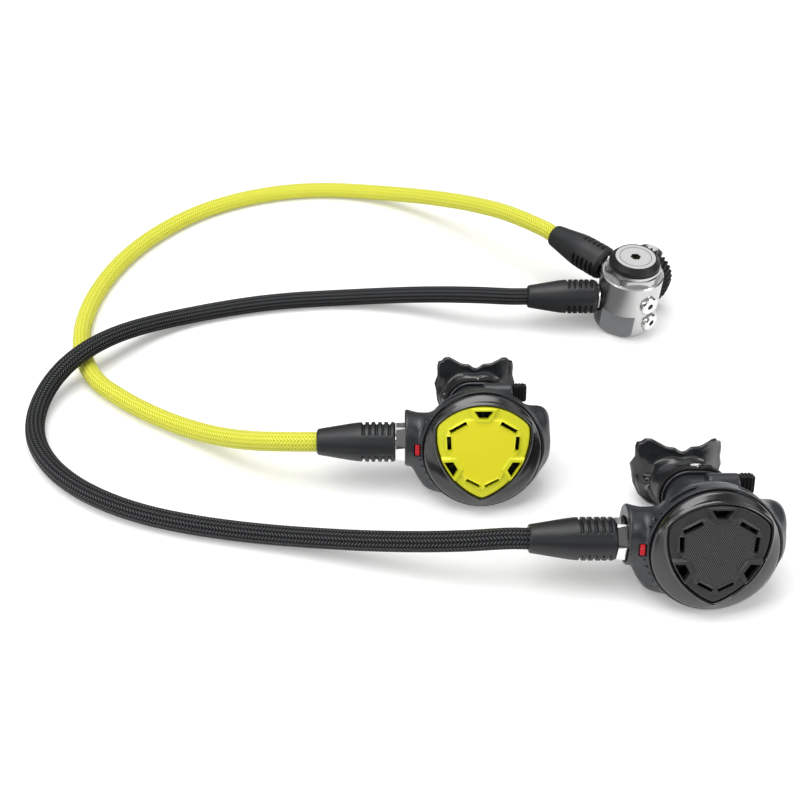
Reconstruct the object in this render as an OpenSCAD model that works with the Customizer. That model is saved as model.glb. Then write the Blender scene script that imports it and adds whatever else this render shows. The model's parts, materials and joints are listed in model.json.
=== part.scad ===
// Two-stage scuba regulator set: a DIN first stage with two low-pressure
// hoses, a primary second stage and a yellow-faced octopus.
// Units are millimetres. The origin is the centre of the first stage's
// bottom face, +Z is up, and every piece lies on the plane z = 0.

/* [First stage body] */
// Outside diameter of the body
body_d = 41; // [39:0.5:46]
// Height of the body up to its rim
body_h = 44; // [42:0.5:50]
// Radius of the rounded bottom edge
body_edge_r = 7; // [3:0.5:9]
// Bevel of the rim
rim_bevel = 0.8; // [0.4:0.1:1.5]
// Depth of the milled panel on the side
panel_depth = 3.5; // [2:0.25:4.5]
// Height of the milled panel above the bottom face
panel_h = 21; // [14:1:26]
// Direction of the milled panel, degrees from +X
panel_az = -118; // [-130:1:-105]
// Depth of the round seats that are cut for the ports
spotface_depth = 0.7; // [0.4:0.1:1.2]

/* [First stage inside] */
// Diameter of the chamber above the diaphragm
spring_chamber_d = 23; // [21:0.5:25]
// Depth of the diaphragm's seat below the rim
seat_drop = 12; // [11:0.25:12.5]
// Thickness of the diaphragm
diaphragm_t = 2; // [1.5:0.1:2.5]
// Diameter of the intermediate-pressure chamber
ip_d = 17; // [15:0.5:18]
// Depth of the intermediate-pressure chamber
ip_depth = 8; // [7:0.25:9]
// Diameter of the high-pressure chamber
high_d = 12; // [11:0.5:13]
// Height of the high-pressure chamber's floor
high_floor_z = 10; // [9:0.5:11]
// Thickness of the orifice insert
orifice_t = 4; // [3:0.25:5]
// Diameter of the hole in the orifice insert
orifice_d = 4.4; // [4:0.1:5]
// Diameter of the high-pressure valve's head
high_head_d = 9; // [8:0.25:10]
// Thickness of the high-pressure valve's head
high_head_t = 2; // [1.5:0.25:2.5]
// Diameter of the high-pressure valve's stem
high_stem_d = 3; // [2.5:0.1:3.5]
// Travel of the first-stage valve
fs_travel = 0.8; // [0.6:0.05:1]
// Diameter of the lifter's pin
lifter_pin_d = 2.6; // [2:0.1:3]

/* [First stage cap] */
// Width across flats of the hexagon on the spring carrier
carrier_af = 34; // [32:0.5:36]
// Height of that hexagon
carrier_hex_h = 4; // [3:0.25:5]
// Diameter of the ring above the hexagon
carrier_ring_d = 34.5; // [33:0.5:36]
// Height of the spring carrier above the body
carrier_h = 6.5; // [5.5:0.25:8]
// Diameter of the black rubber cap ring
cap_ring_d = 33; // [31:0.5:34]
// Height of the cap ring
cap_ring_h = 5.5; // [4.5:0.25:7]
// Diameter of the bright disc inside the cap ring
disc_d = 26; // [24:0.5:28]
// Diameter of the adjuster
adjuster_d = 20; // [18:0.5:21.5]
// Width across flats of the adjuster's socket
adjuster_af = 6; // [5:0.5:8]
// Wire of the main spring
main_wire_d = 2.4; // [2:0.1:2.8]

/* [Ports] */
// Direction of the primary hose's port, degrees from +X
primary_az = 180; // [175:1:185]
// Height of the primary hose's port
primary_port_z = 22.75; // [22:0.25:23]
// Direction of the octopus hose's port, degrees from +X
octopus_az = 132; // [129:1:133]
// Distance of the octopus hose's port below the rim
octopus_port_drop = 6.75; // [6.25:0.25:7]
// Direction of the spare low-pressure port
spare_lp_az = -62; // [-66:1:-58]
// Distance of the spare low-pressure port below the rim
spare_lp_drop = 14; // [13.5:0.25:14.5]
// Direction of the high-pressure port
gauge_az = -50; // [-54:1:-46]
// Height of the high-pressure port
gauge_z = 14; // [13:0.5:15]
// Thread diameter of a low-pressure port
lp_thread_d = 9.5; // [9:0.1:10]
// Thread diameter of the high-pressure port
high_thread_d = 11; // [10.5:0.1:11.2]
// Depth of a port's thread
port_depth = 6; // [5:0.25:6.5]
// Diameter of the passages behind the ports
passage_d = 3; // [2:0.25:3.5]
// Diameter of a plug's head
plug_d = 12.5; // [11:0.25:13]
// Height of a plug's head
plug_h = 3; // [2:0.25:4]

/* [DIN connector] */
// Direction of the connector, degrees from +X
din_az = 63; // [60:1:68]
// Height of the connector's axis
din_z = 22; // [22:0.25:23]
// Outside diameter of the hand wheel
wheel_d = 43; // [40:0.5:44]
// Width of the hand wheel
wheel_w = 12; // [10:0.5:14]
// Number of teeth round the hand wheel
wheel_teeth = 36; // [24:1:44]
// Depth of the teeth
tooth_h = 1.8; // [1:0.1:2.4]
// Outside diameter of the G 5/8 thread
din_thread_d = 22.9; // [22.6:0.05:23]
// Length of the free thread beyond the wheel
din_thread_l = 15; // [12:0.5:18]
// Diameter of the retainer's shaft
retainer_d = 13.2; // [12:0.2:14]
// Diameter of the retainer's front flange
retainer_head_d = 17; // [16:0.25:18]
// Diameter of the retainer's thread in the body
retainer_thread_d = 15; // [13.5:0.25:15.5]
// Width across flats of the retainer's socket
retainer_af = 6; // [5:0.5:6.5]
// Section of the front O-ring
oring_d = 2.6; // [2:0.1:2.8]

/* [Hoses] */
// Outside diameter of a hose
hose_d = 11.5; // [10:0.25:12]
// Length of a hose protector
boot_l = 45; // [40:1:50]
// Diameter of a protector at its wide end
boot_d = 23; // [21:0.25:23.2]
// Diameter of a protector at its narrow end
boot_tip_d = 15; // [13.5:0.25:16]
// Length of the ribbed part of a protector
boot_ribbed_l = 19; // [16:0.5:21]
// Number of grooves in the ribbed part
boot_grooves = 5; // [3:1:6]
// Depth of the grooves
groove_depth = 1.3; // [0.8:0.1:1.8]
// Gap between the first stage's axis and a protector
boot_start = 22.8; // [22.8:0.1:24]
// Diameter of the crimped ferrule inside a protector
ferrule_d = 15; // [13:0.25:16]
// Length of the ferrule inside a protector
ferrule_l = 18; // [14:0.5:22]
// Width across flats of a low-pressure fitting
fitting_af = 14; // [12.5:0.5:15]
// Width across flats of a swivel nut
nut_af = 20; // [18:0.25:20.5]
// Length of a swivel nut
nut_l = 8.2; // [7:0.2:8.6]
// Diameter of the stem that turns in a second stage's inlet
stem_d = 8.9; // [8.5:0.05:9.2]

/* [Second stage face] */
// Outside diameter of the cover ring
cover_d = 66; // [65.5:0.25:67]
// Height of the cover ring's sloped front
cover_slope_h = 6.5; // [5.5:0.25:6.5]
// Height of the cover ring's skirt
cover_skirt_h = 4.5; // [4:0.25:4.8]
// Width of the rim that frames the purge button
frame_w = 1.8; // [1.4:0.1:2.2]
// Clearance round the purge button
button_gap = 0.4; // [0.35:0.05:0.5]
// Thickness of the purge button
button_t = 2.2; // [1.8:0.1:2.4]
// Travel of the purge button
purge_travel = 3; // [2.4:0.1:3]
// Diameter of the purge button's boss
button_boss_d = 16; // [14:0.5:17]
// Wire of the purge spring
purge_wire_d = 0.8; // [0.6:0.05:0.9]

/* [Second stage case] */
// Angle by which a face looks upwards
tilt = 28; // [26:1:30]
// Thickness of the case's front rim
rim_wall = 2.5; // [2:0.1:3]
// How far the collar stands out past the cover ring
collar_step = 1; // [0.6:0.1:1.5]
// Depth of the inlet's axis behind the face
inlet_depth = 19; // [19:0.25:19.5]
// Depth of the case's back wall behind the face
back_depth = 31; // [30:0.5:32]
// Diameter of the case at its back wall
back_d = 47; // [43:0.5:48]
// Thickness of the case's walls
wall = 2.2; // [1.8:0.1:2.6]
// Half the width of the case over its side bosses
case_half_w = 40; // [39:0.5:41]
// Diameter of the side bosses' round edges
boss_d = 22; // [20:0.5:22]
// Distance between those edges' centres
boss_spread = 9; // [6:0.5:10]
// Reach of the inlet boss from the face's axis
inlet_reach = 43.5; // [43:0.25:44]

/* [Second stage valve] */
// Thread diameter of the inlet
inlet_thread_d = 14.3; // [13.5:0.1:14.5]
// Outside diameter of the valve barrel
barrel_d = 12; // [11.5:0.1:12.2]
// Chamber of the valve barrel
barrel_bore_d = 8.4; // [8:0.1:8.8]
// Diameter of the poppet's rod
poppet_d = 6; // [5:0.25:6.5]
// Distance of the lever's pin from the face's axis
lever_x = 14; // [13:0.25:15]
// Length of the lever's foot below its pin
foot_l = 6; // [5.6:0.1:6.1]
// Thickness of the lever's wire
lever_t = 0.8; // [0.6:0.05:1]
// Thickness of the demand diaphragm
skin_t = 0.8; // [0.6:0.05:1]
// Diameter of the stiff disc in the demand diaphragm
plate_d = 22; // [18:1:26]

/* [Mouthpiece] */
// Width of the case's outlet tube
tube_w = 33; // [31:0.5:34]
// Height of the case's outlet tube
tube_h = 25; // [24:0.5:25.5]
// Height of the outlet tube's axis above the face's axis
tube_y = 14; // [13.5:0.25:14.5]
// Depth of the outlet tube's end behind the face
tube_end = 50; // [48:0.5:51]
// Thickness of the silicone
silicone_t = 2; // [1.5:0.1:2.2]
// Width of the mouthpiece's shield
shield_w = 48.4; // [46:0.2:50]
// Height of the shield's upper lobes above the tube's axis
shield_h = 23.2; // [21:0.2:24]
// Depth of the shield's front behind the face
shield_depth = 62; // [60:0.5:63]
// Bend radius of the shield
shield_r = 50; // [44:1:60]
// Length of the bite tabs behind the shield's front
bite_l = 14; // [12:0.5:15]
// Width of the clamp band
clamp_w = 4; // [3:0.25:5]

/* [Hidden] */

$fn = 64;
eps = 0.01;             // overlap that joins two solids of one piece
cut = 1;                // how far a cutting tool runs past a face
thread_fit = 0.05;      // radial clearance of a screwed or pressed joint
running_fit = 0.06;     // radial clearance of a shaft that turns or slides
gap = 0.3;              // clearance between pieces that move apart

// First stage, worked out from the sizes above
body_r = body_d / 2;
seat_z = body_h - seat_drop;
octopus_port_z = body_h - octopus_port_drop;
spare_lp_z = body_h - spare_lp_drop;
spotface_r = body_r - spotface_depth;
port_floor_r = spotface_r - port_depth;
ip_floor_z = seat_z - ip_depth;
orifice_z = ip_floor_z - orifice_t;
head_z = orifice_z - fs_travel - high_head_t;
diaphragm_top_z = seat_z + diaphragm_t;
pad_t = 2;
pad_z = diaphragm_top_z + 0.1;
carrier_top_z = body_h + carrier_h;
cap_top_z = carrier_top_z + cap_ring_h;
adjuster_z = carrier_top_z - 2;
spring_bore_d = spring_chamber_d - 4.6;

// DIN connector: distances along its own axis
wheel_start = body_r + 1;
wheel_end = wheel_start + wheel_w;
thread_relief = 1;                      // groove between the wheel and the free thread
din_tip = wheel_end + thread_relief + din_thread_l;
neck_d = din_thread_d - 1;              // of the sleeve in the wheel and the groove
boss_end = wheel_start - gap;
retainer_root = body_r - port_depth;
boss_wall = 4.5;                        // wall of the boss round the retainer
sleeve_bore_d = retainer_d + 2 * running_fit;
head_l = 2.6;

// Second stages: where the centre of each face lies
primary_face = [7, -223.5, 36];
octopus_face = [-108, -154.5, 36];
nut_start = inlet_reach + 5;            // end of the nut that meets the boot
boot_near = nut_start + 0.3;
boot_far = boot_near + boot_l;
inlet_y = inlet_depth * cos(tilt);
inlet_z = -inlet_depth * sin(tilt);

// Purge button outline: three circles that cut each other
arc_top = [0, -6.9, 34.2];
arc_side = [15.4, 11, 41.3];
pattern_y = 2.8;                        // rise of the vents' middle above the face's axis

// Diameters that follow from the cover ring
case_rim_d = cover_d - 4;
case_bore_d = case_rim_d - 2 * rim_wall;
collar_d = cover_d + 2 * collar_step;

// Depths behind the face (local z, negative inwards)
cover_back = -(cover_slope_h + cover_skirt_h);
rim_z = -7.3;                           // front of the case's rim
skin_top = -6.5;                        // top of the diaphragm's rim
plate_t = 1.5;
hub_top = -5;
hub_t = 1;
button_bottom = hub_top + purge_travel + 0.2;
barrel_top = -inlet_depth + barrel_d / 2;
lever_z = barrel_top + 1.8;             // height of the lever's pin
lever_tip_r = 0.65;
lever_tip_z = skin_top - plate_t - gap - lever_tip_r;
poppet_face = lever_x + 1.2;            // the face that the lever's foot pulls
sleeve_l = 7;                           // overlap of the mouthpiece and the outlet tube

// --- Small shared shapes -------------------------------------------------

// A tube standing on z = 0
module ring(d_out, d_in, h) {
    difference() {
        cylinder(d = d_out, h = h);
        translate([0, 0, -cut]) cylinder(d = d_in, h = h + 2 * cut);
    }
}

// A hexagonal bar by its width across flats
module hex_bar(af, h) {
    cylinder(d = af / cos(30), h = h, $fn = 6);
}

// A slot outline, w wide and h high, with round ends left and right
module slot_2d(w, h) {
    square([w - h, h], center = true);
    for (s = [-1, 1]) translate([s * (w - h) / 2, 0]) circle(d = h);
}

// Turns local z outwards along a horizontal direction at height z
module radial(az, z) {
    translate([0, 0, z]) rotate([0, 0, az]) rotate([0, 90, 0]) children();
}

// A drilled passage between two points of the plane through the axis
module drill(az, r1, z1, r2, z2, d) {
    length = norm([r2 - r1, z2 - z1]);
    angle = atan2(r2 - r1, z2 - z1);
    rotate([0, 0, az]) translate([r1, 0, z1]) rotate([0, angle, 0])
        cylinder(d = d, h = length, $fn = 32);
}

function unit(v) = v / norm(v);

// A round tube of s sides that follows points, square at both ends
module sweep(points, d, s = 12) {
    n = len(points);
    rings = [for (i = [0 : n - 1])
        let (t = unit(points[min(i + 1, n - 1)] - points[max(i - 1, 0)]),
             side = unit(cross(t, [0, 0, 1])),
             up = cross(side, t))
        for (k = [0 : s - 1])
            points[i] + d / 2 * (cos(360 * k / s) * side + sin(360 * k / s) * up)];
    walls = [for (i = [0 : n - 2], k = [0 : s - 1], half = [0, 1])
        let (a = i * s + k, b = i * s + (k + 1) % s)
        half == 0 ? [a, b, b + s] : [a, b + s, a + s]];
    first = [for (k = [s - 1 : -1 : 0]) k];
    last = [for (k = [0 : s - 1]) (n - 1) * s + k];
    polyhedron(points = rings, faces = concat([first], walls, [last]));
}

// A coil spring between z = 0 and z = h
module coil(d, wire, h, turns, steps = 12) {
    n = ceil(turns * steps);
    sweep([for (i = [0 : n])
        [(d - wire) / 2 * cos(360 * i / steps), (d - wire) / 2 * sin(360 * i / steps),
         wire / 2 + (h - wire) * i / n]], wire, 6);
}

// --- First stage ---------------------------------------------------------

module first_stage_body() {
    color("silver") difference() {
        union() {
            translate([0, 0, body_edge_r])
                cylinder(r = body_r, h = body_h - body_edge_r - rim_bevel);
            rotate_extrude() translate([body_r - body_edge_r, body_edge_r])
                circle(r = body_edge_r);
            cylinder(r = body_r - body_edge_r, h = body_edge_r + eps);
            translate([0, 0, body_h - rim_bevel])
                cylinder(r1 = body_r, r2 = body_r - rim_bevel, h = rim_bevel);
            radial(din_az, din_z) translate([0, 0, retainer_root])
                cylinder(d = retainer_thread_d + 2 * boss_wall, h = boss_end - retainer_root);
        }
        // milled panel
        rotate([0, 0, panel_az]) translate([body_r - panel_depth, -body_r, -cut])
            cube([body_r, body_d, panel_h + cut]);
        // chambers, from the top down
        translate([0, 0, seat_z]) cylinder(d = spring_chamber_d, h = body_h);
        translate([0, 0, ip_floor_z]) cylinder(d = ip_d, h = ip_depth + cut);
        translate([0, 0, high_floor_z]) cylinder(d = high_d, h = ip_floor_z - high_floor_z + cut);
        translate([0, 0, high_floor_z - 4]) cylinder(d = high_stem_d + 2 * running_fit, h = 4 + cut);
        // ports
        port(primary_az, primary_port_z, lp_thread_d, fitting_af / cos(30) + 0.8);
        port(octopus_az, octopus_port_z, lp_thread_d, fitting_af / cos(30) + 0.8);
        port(spare_lp_az, spare_lp_z, lp_thread_d, plug_d + 2);
        port(gauge_az, gauge_z, high_thread_d, plug_d + 2);
        radial(din_az, din_z) translate([0, 0, retainer_root])
            cylinder(d = retainer_thread_d, h = body_r);
        // passages
        drill(primary_az, port_floor_r + 1, primary_port_z + 1.5, ip_d / 2 - 1,
              ip_floor_z + 3, passage_d);
        drill(octopus_az, port_floor_r + 3, octopus_port_z - 3.2, ip_d / 2 - 1,
              ip_floor_z + 1.5, passage_d);
        drill(spare_lp_az, port_floor_r + 1, spare_lp_z - 1, ip_d / 2 - 1,
              spare_lp_z - 1, passage_d);
        drill(gauge_az, port_floor_r + 1, gauge_z, high_d / 2 - 1, gauge_z, passage_d);
        drill(din_az, retainer_root + 1, din_z - 1, high_d / 2 - 2, high_floor_z + 5, passage_d);
    }
}

module port(az, z, d, seat_d) {
    radial(az, z) {
        translate([0, 0, port_floor_r]) cylinder(d = d, h = body_r);
        translate([0, 0, spotface_r]) cylinder(d = seat_d, h = body_r);
    }
}

module spring_carrier() {
    skirt_z = diaphragm_top_z;
    color("silver") difference() {
        union() {
            translate([0, 0, skirt_z])
                cylinder(d = spring_chamber_d - 2 * thread_fit, h = body_h - skirt_z + eps);
            translate([0, 0, body_h]) intersection() {
                hex_bar(carrier_af, carrier_hex_h);
                cylinder(d1 = carrier_af + 3.4, d2 = carrier_af + 2, h = carrier_hex_h);
            }
            translate([0, 0, body_h + carrier_hex_h - eps])
                cylinder(d = carrier_ring_d - 1.6, h = 0.8);
            translate([0, 0, body_h + carrier_hex_h + 0.7])
                cylinder(d = carrier_ring_d, h = carrier_h - carrier_hex_h - 0.7);
        }
        translate([0, 0, skirt_z - cut]) cylinder(d = spring_bore_d, h = carrier_top_z);
        translate([0, 0, adjuster_z])
            cylinder(d = adjuster_d + 2 * thread_fit, h = carrier_h);
    }
}

module cap_ring() {
    bevel = 3;
    color([0.12, 0.12, 0.13]) translate([0, 0, carrier_top_z]) difference() {
        union() {
            cylinder(d = cap_ring_d, h = cap_ring_h - bevel);
            translate([0, 0, cap_ring_h - bevel])
                cylinder(d1 = cap_ring_d, d2 = disc_d + 1.6, h = bevel);
        }
        translate([0, 0, -cut]) cylinder(d = disc_d + 2 * thread_fit, h = cap_ring_h + 2 * cut);
    }
}

module cap_disc() {
    color("gainsboro") translate([0, 0, carrier_top_z])
        ring(disc_d, adjuster_d + 0.8, cap_ring_h);
}

module adjuster_screw() {
    color("gainsboro") translate([0, 0, adjuster_z]) difference() {
        cylinder(d = adjuster_d, h = cap_top_z - adjuster_z);
        translate([0, 0, -cut]) hex_bar(adjuster_af, cap_top_z);
    }
}

module main_spring() {
    start = pad_z + pad_t;
    color("dimgray") translate([0, 0, start])
        coil(spring_bore_d - 2, main_wire_d, adjuster_z - start, 3.5);
}

module spring_pad() {
    color("goldenrod") translate([0, 0, pad_z])
        cylinder(d = spring_bore_d - 2 * gap, h = pad_t);
}

module first_stage_diaphragm() {
    color([0.1, 0.1, 0.1]) translate([0, 0, seat_z])
        cylinder(d = spring_chamber_d - 2 * thread_fit, h = diaphragm_t);
}

module valve_lifter() {
    plate_z = seat_z - 0.1 - pad_t;
    color("goldenrod") {
        translate([0, 0, plate_z]) cylinder(d = ip_d - 2 * gap, h = pad_t);
        translate([0, 0, head_z + high_head_t])
            cylinder(d = lifter_pin_d, h = plate_z - head_z - high_head_t + eps);
    }
}

module orifice_insert() {
    color("silver") translate([0, 0, orifice_z])
        ring(high_d - 2 * thread_fit, orifice_d, orifice_t);
}

module tank_side_valve() {
    color("gray") {
        translate([0, 0, head_z]) cylinder(d = high_head_d, h = high_head_t);
        translate([0, 0, high_floor_z - 3])
            cylinder(d = high_stem_d, h = head_z - high_floor_z + 3 + eps);
    }
}

module valve_spring() {
    color("dimgray") translate([0, 0, high_floor_z])
        coil(high_head_d - 1, 0.9, head_z - high_floor_z, 4);
}

// A screwed port plug with a socket for a hexagon key
module plug(az, z, d) {
    radial(az, z) difference() {
        union() {
            translate([0, 0, port_floor_r + gap])
                cylinder(d = d - 2 * thread_fit, h = port_depth - gap + eps);
            translate([0, 0, spotface_r]) cylinder(d = plug_d, h = plug_h - 0.8);
            translate([0, 0, spotface_r + plug_h - 0.8])
                cylinder(d1 = plug_d, d2 = plug_d - 1.6, h = 0.8);
        }
        translate([0, 0, spotface_r - 2]) hex_bar(4, plug_h + 3);
    }
}

module lp_port_plug() { color("gainsboro") plug(spare_lp_az, spare_lp_z, lp_thread_d); }

module gauge_port_plug() { color("gainsboro") plug(gauge_az, gauge_z, high_thread_d); }

module din_retainer() {
    color("silver") radial(din_az, din_z) difference() {
        union() {
            translate([0, 0, retainer_root + gap])
                cylinder(d = retainer_thread_d - 2 * thread_fit, h = boss_end - retainer_root - gap);
            translate([0, 0, boss_end - eps]) cylinder(d = retainer_d, h = din_tip - boss_end);
            translate([0, 0, din_tip - head_l]) cylinder(d = retainer_head_d, h = head_l);
        }
        translate([0, 0, retainer_root]) cylinder(d = 4, h = din_tip);
        translate([0, 0, din_tip - 12]) hex_bar(retainer_af, 20);
        translate([0, 0, din_tip - oring_d / 2]) ring(2 * retainer_head_d, oring_seat_d(), oring_d);
    }
}

function oring_seat_d() = retainer_head_d - 2 * oring_d;

module din_hand_wheel() {
    color([0.12, 0.12, 0.13]) radial(din_az, din_z) translate([0, 0, wheel_start])
        difference() {
            linear_extrude(wheel_w) polygon([for (i = [0 : 2 * wheel_teeth - 1])
                let (r = wheel_d / 2 - (i % 2) * tooth_h, a = 180 * i / wheel_teeth)
                [r * cos(a), r * sin(a)]]);
            translate([0, 0, -cut]) cylinder(d = neck_d + 2 * thread_fit, h = wheel_w + 2 * cut);
            translate([0, 0, wheel_w - 3])
                ring(wheel_d - 8, din_thread_d + 5, 3 + cut);
        }
}

module din_thread_sleeve() {
    counterbore = head_l + gap;
    color("silver") radial(din_az, din_z) difference() {
        union() {
            translate([0, 0, wheel_start]) cylinder(d = neck_d, h = wheel_w + thread_relief + eps);
            translate([0, 0, wheel_end + thread_relief]) cylinder(d = din_thread_d, h = din_thread_l);
        }
        translate([0, 0, wheel_start - cut]) cylinder(d = sleeve_bore_d, h = din_tip);
        translate([0, 0, din_tip - counterbore])
            cylinder(d = retainer_head_d + 2 * gap, h = counterbore + cut);
    }
}

module din_oring() {
    mean_d = oring_seat_d() + oring_d;
    color([0.1, 0.1, 0.1]) radial(din_az, din_z) translate([0, 0, din_tip])
        rotate_extrude() translate([mean_d / 2, 0]) circle(d = oring_d, $fn = 24);
}

module din_filter() {
    color("goldenrod") radial(din_az, din_z) translate([0, 0, din_tip - 10])
        cylinder(d = retainer_af - 2 * thread_fit, h = 3);
}

// --- Hoses ---------------------------------------------------------------

function radial_point(az, z, r) = [r * cos(az), r * sin(az), z];
function inlet_point(face, reach) = face + [-reach, inlet_y, inlet_z];

// Hand-laid middle of each route; both ends follow from the fittings
primary_lay = [
    [-101, 2, 22.3], [-125, 8, 18], [-149, 14, 12.8], [-174, 18, 8.4],
    [-200, 19, 6], [-226, 17, 5.8], [-252, 13, 5.8], [-277, 7, 5.8],
    [-300, -1, 6.6], [-320, -12, 9.6], [-336, -25.5, 14], [-348.5, -39, 17.2],
    [-359, -51.5, 17.8], [-368.5, -63, 15.4], [-376, -76, 11.2],
    [-379.5, -91, 7.6], [-378, -107, 5.9], [-371, -123.5, 5.8],
    [-358.5, -139.5, 5.8], [-341.5, -153.5, 5.8], [-321, -165, 5.8],
    [-298, -174, 5.8], [-273, -180.5, 5.8], [-247, -185.5, 6.2],
    [-221, -190, 7.8], [-195, -194.5, 10.8], [-170, -199, 14.8],
    [-145, -203, 19.4], [-121, -205.8, 23.8]];
octopus_lay = [
    [-75, 80.5, 34.6], [-96.5, 99.5, 29.2], [-118, 116.5, 22.6], [-140, 132, 15.8],
    [-163, 144.5, 10], [-188, 153, 6.6], [-214, 156, 5.8], [-240, 154, 5.8],
    [-265, 148, 5.8], [-289, 138, 5.8], [-311, 124, 5.8], [-330, 106, 5.8],
    [-346, 85, 5.8], [-358.5, 61, 5.8], [-366.5, 35.5, 5.8],
    [-370.5, 9, 5.8], [-369.5, -18, 5.8], [-362.5, -43, 5.8],
    [-349, -65, 5.8], [-330, -81, 5.8], [-311, -93.5, 5.8],
    [-293, -103.5, 6.4], [-277, -112, 8.6], [-262.5, -119.8, 12.4],
    [-248.5, -127, 17.4], [-235, -132.8, 22.3], [-222, -136.4, 25.8]];

primary_route = concat(
    [for (s = [0, 12]) radial_point(primary_az, primary_port_z, boot_start + boot_l + s)],
    primary_lay,
    [for (s = [12, 0]) inlet_point(primary_face, boot_far + s)]);
octopus_route = concat(
    [for (s = [0, 12]) radial_point(octopus_az, octopus_port_z, boot_start + boot_l + s)],
    octopus_lay,
    [for (s = [9, 0]) inlet_point(octopus_face, boot_far + s)]);

function route_length(p) =
    len(p) < 2 ? 0 : [for (i = [1 : len(p) - 1]) norm(p[i] - p[i - 1])] * [for (i = [1 : len(p) - 1]) 1];
echo(primary_hose_length = route_length(primary_route),
     octopus_hose_length = route_length(octopus_route));

module primary_hose() { color([0.15, 0.15, 0.17]) sweep(primary_route, hose_d); }

module octopus_hose() { color([0.85, 0.9, 0.15]) sweep(octopus_route, hose_d); }

// A rubber hose protector whose wide, ribbed end stands on z = 0
module boot() {
    lip = 3.5;
    pitch = (boot_ribbed_l - lip) / boot_grooves;
    tip_round = 0.8;
    color([0.2, 0.2, 0.21]) difference() {
        union() {
            difference() {
                cylinder(d = boot_d, h = boot_ribbed_l);
                for (i = [0 : boot_grooves - 1]) translate([0, 0, lip + i * pitch])
                    ring(boot_d + 2, boot_d - 2 * groove_depth, pitch / 3);
            }
            translate([0, 0, boot_ribbed_l - eps])
                cylinder(d1 = boot_d, d2 = boot_tip_d, h = boot_l - boot_ribbed_l - tip_round + eps);
            translate([0, 0, boot_l - tip_round])
                cylinder(d1 = boot_tip_d, d2 = boot_tip_d - tip_round, h = tip_round);
        }
        translate([0, 0, -cut]) cylinder(d = ferrule_d + 2 * thread_fit, h = ferrule_l + cut);
    }
}

module primary_first_stage_boot() {
    radial(primary_az, primary_port_z) translate([0, 0, boot_start]) boot();
}

module octopus_first_stage_boot() {
    radial(octopus_az, octopus_port_z) translate([0, 0, boot_start]) boot();
}

// The screwed fitting at the first stage, with its ferrule in the boot
module fitting(az, z) {
    color("silver") radial(az, z) difference() {
        union() {
            translate([0, 0, port_floor_r + gap])
                cylinder(d = lp_thread_d - 2 * thread_fit, h = port_depth - gap + eps);
            translate([0, 0, spotface_r]) hex_bar(fitting_af, boot_start - spotface_r);
            translate([0, 0, boot_start - eps]) cylinder(d = ferrule_d, h = ferrule_l);
        }
        translate([0, 0, port_floor_r]) cylinder(d = 4, h = boot_start + ferrule_l);
    }
}

module primary_fitting() { fitting(primary_az, primary_port_z); }

module octopus_fitting() { fitting(octopus_az, octopus_port_z); }

// Puts z = 0 on an inlet's axis at a distance from the face, looking to -X
module at_inlet(face, reach) {
    translate(inlet_point(face, reach)) rotate([0, -90, 0]) children();
}

module swivel_nut(face) {
    color("silver") at_inlet(face, nut_start - nut_l) difference() {
        intersection() {
            hex_bar(nut_af, nut_l);
            cylinder(d1 = nut_af + 3, d2 = nut_af + 2, h = nut_l);
        }
        translate([0, 0, -cut]) cylinder(d = inlet_thread_d + 2 * running_fit, h = nut_l - 1.4 + cut);
        translate([0, 0, -cut]) cylinder(d = stem_d + 2 * thread_fit, h = nut_l + 2 * cut);
    }
}

// The stem turns inside the inlet; its ferrule is inside the boot
module hose_stem(face) {
    stem_l = 7;
    color("silver") at_inlet(face, nut_start - stem_l) difference() {
        union() {
            cylinder(d = stem_d, h = stem_l + 0.3 + eps);
            translate([0, 0, stem_l + 0.3]) cylinder(d = ferrule_d, h = ferrule_l);
        }
        translate([0, 0, -cut]) cylinder(d = 4, h = boot_l);
    }
}

module primary_second_stage_boot() { at_inlet(primary_face, boot_near) boot(); }

module octopus_second_stage_boot() { at_inlet(octopus_face, boot_near) boot(); }

module primary_swivel_nut() { swivel_nut(primary_face); }

module octopus_swivel_nut() { swivel_nut(octopus_face); }

module primary_hose_stem() { hose_stem(primary_face); }

module octopus_hose_stem() { hose_stem(octopus_face); }

// --- Second stage, in its own frame --------------------------------------
// x runs to the diver's left, y up the face and z out of the face.

module on_primary() { translate(primary_face) rotate([90 - tilt, 0, 0]) children(); }

module on_octopus() { translate(octopus_face) rotate([90 - tilt, 0, 0]) children(); }

// Outline of the purge button, grown by extra
module shield_2d(extra = 0) {
    intersection() {
        translate([0, arc_top[1]]) circle(r = arc_top[2] + extra, $fn = 128);
        for_side(-1) circle(r = arc_side[2] + extra, $fn = 128);
        for_side(1) circle(r = arc_side[2] + extra, $fn = 128);
    }
}

module for_side(s) { translate([s * arc_side[0], arc_side[1]]) children(); }

module cover_ring() {
    color([0.1, 0.1, 0.11]) {
        difference() {
            union() {
                hull() {
                    translate([0, 0, -cover_slope_h])
                        cylinder(d = cover_d, h = 0.5, $fn = 72);
                    translate([0, 0, -0.5]) linear_extrude(0.5) shield_2d(frame_w);
                }
                translate([0, 0, cover_back])
                    cylinder(d = cover_d, h = cover_skirt_h + eps, $fn = 72);
            }
            translate([0, 0, -cover_slope_h - cut]) linear_extrude(cover_slope_h + 2 * cut)
                shield_2d();
            translate([0, 0, cover_back]) cylinder(d = case_bore_d - 2, h = -cover_back - 2.2);
            translate([0, 0, cover_back - cut])
                cylinder(d = case_rim_d + 2 * thread_fit, h = skin_top - cover_back + cut);
        }
        // hub that carries the purge spring, on three spokes
        translate([0, 0, hub_top - hub_t]) {
            ring(button_boss_d + 8, button_boss_d + 2 * gap, hub_t);
            for (a = [90, 210, 330]) rotate([0, 0, a])
                translate([button_boss_d / 2 + 2, -1.5, 0])
                    cube([case_bore_d / 2 - button_boss_d / 2 - 2.6, 3, hub_t]);
        }
    }
}

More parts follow.
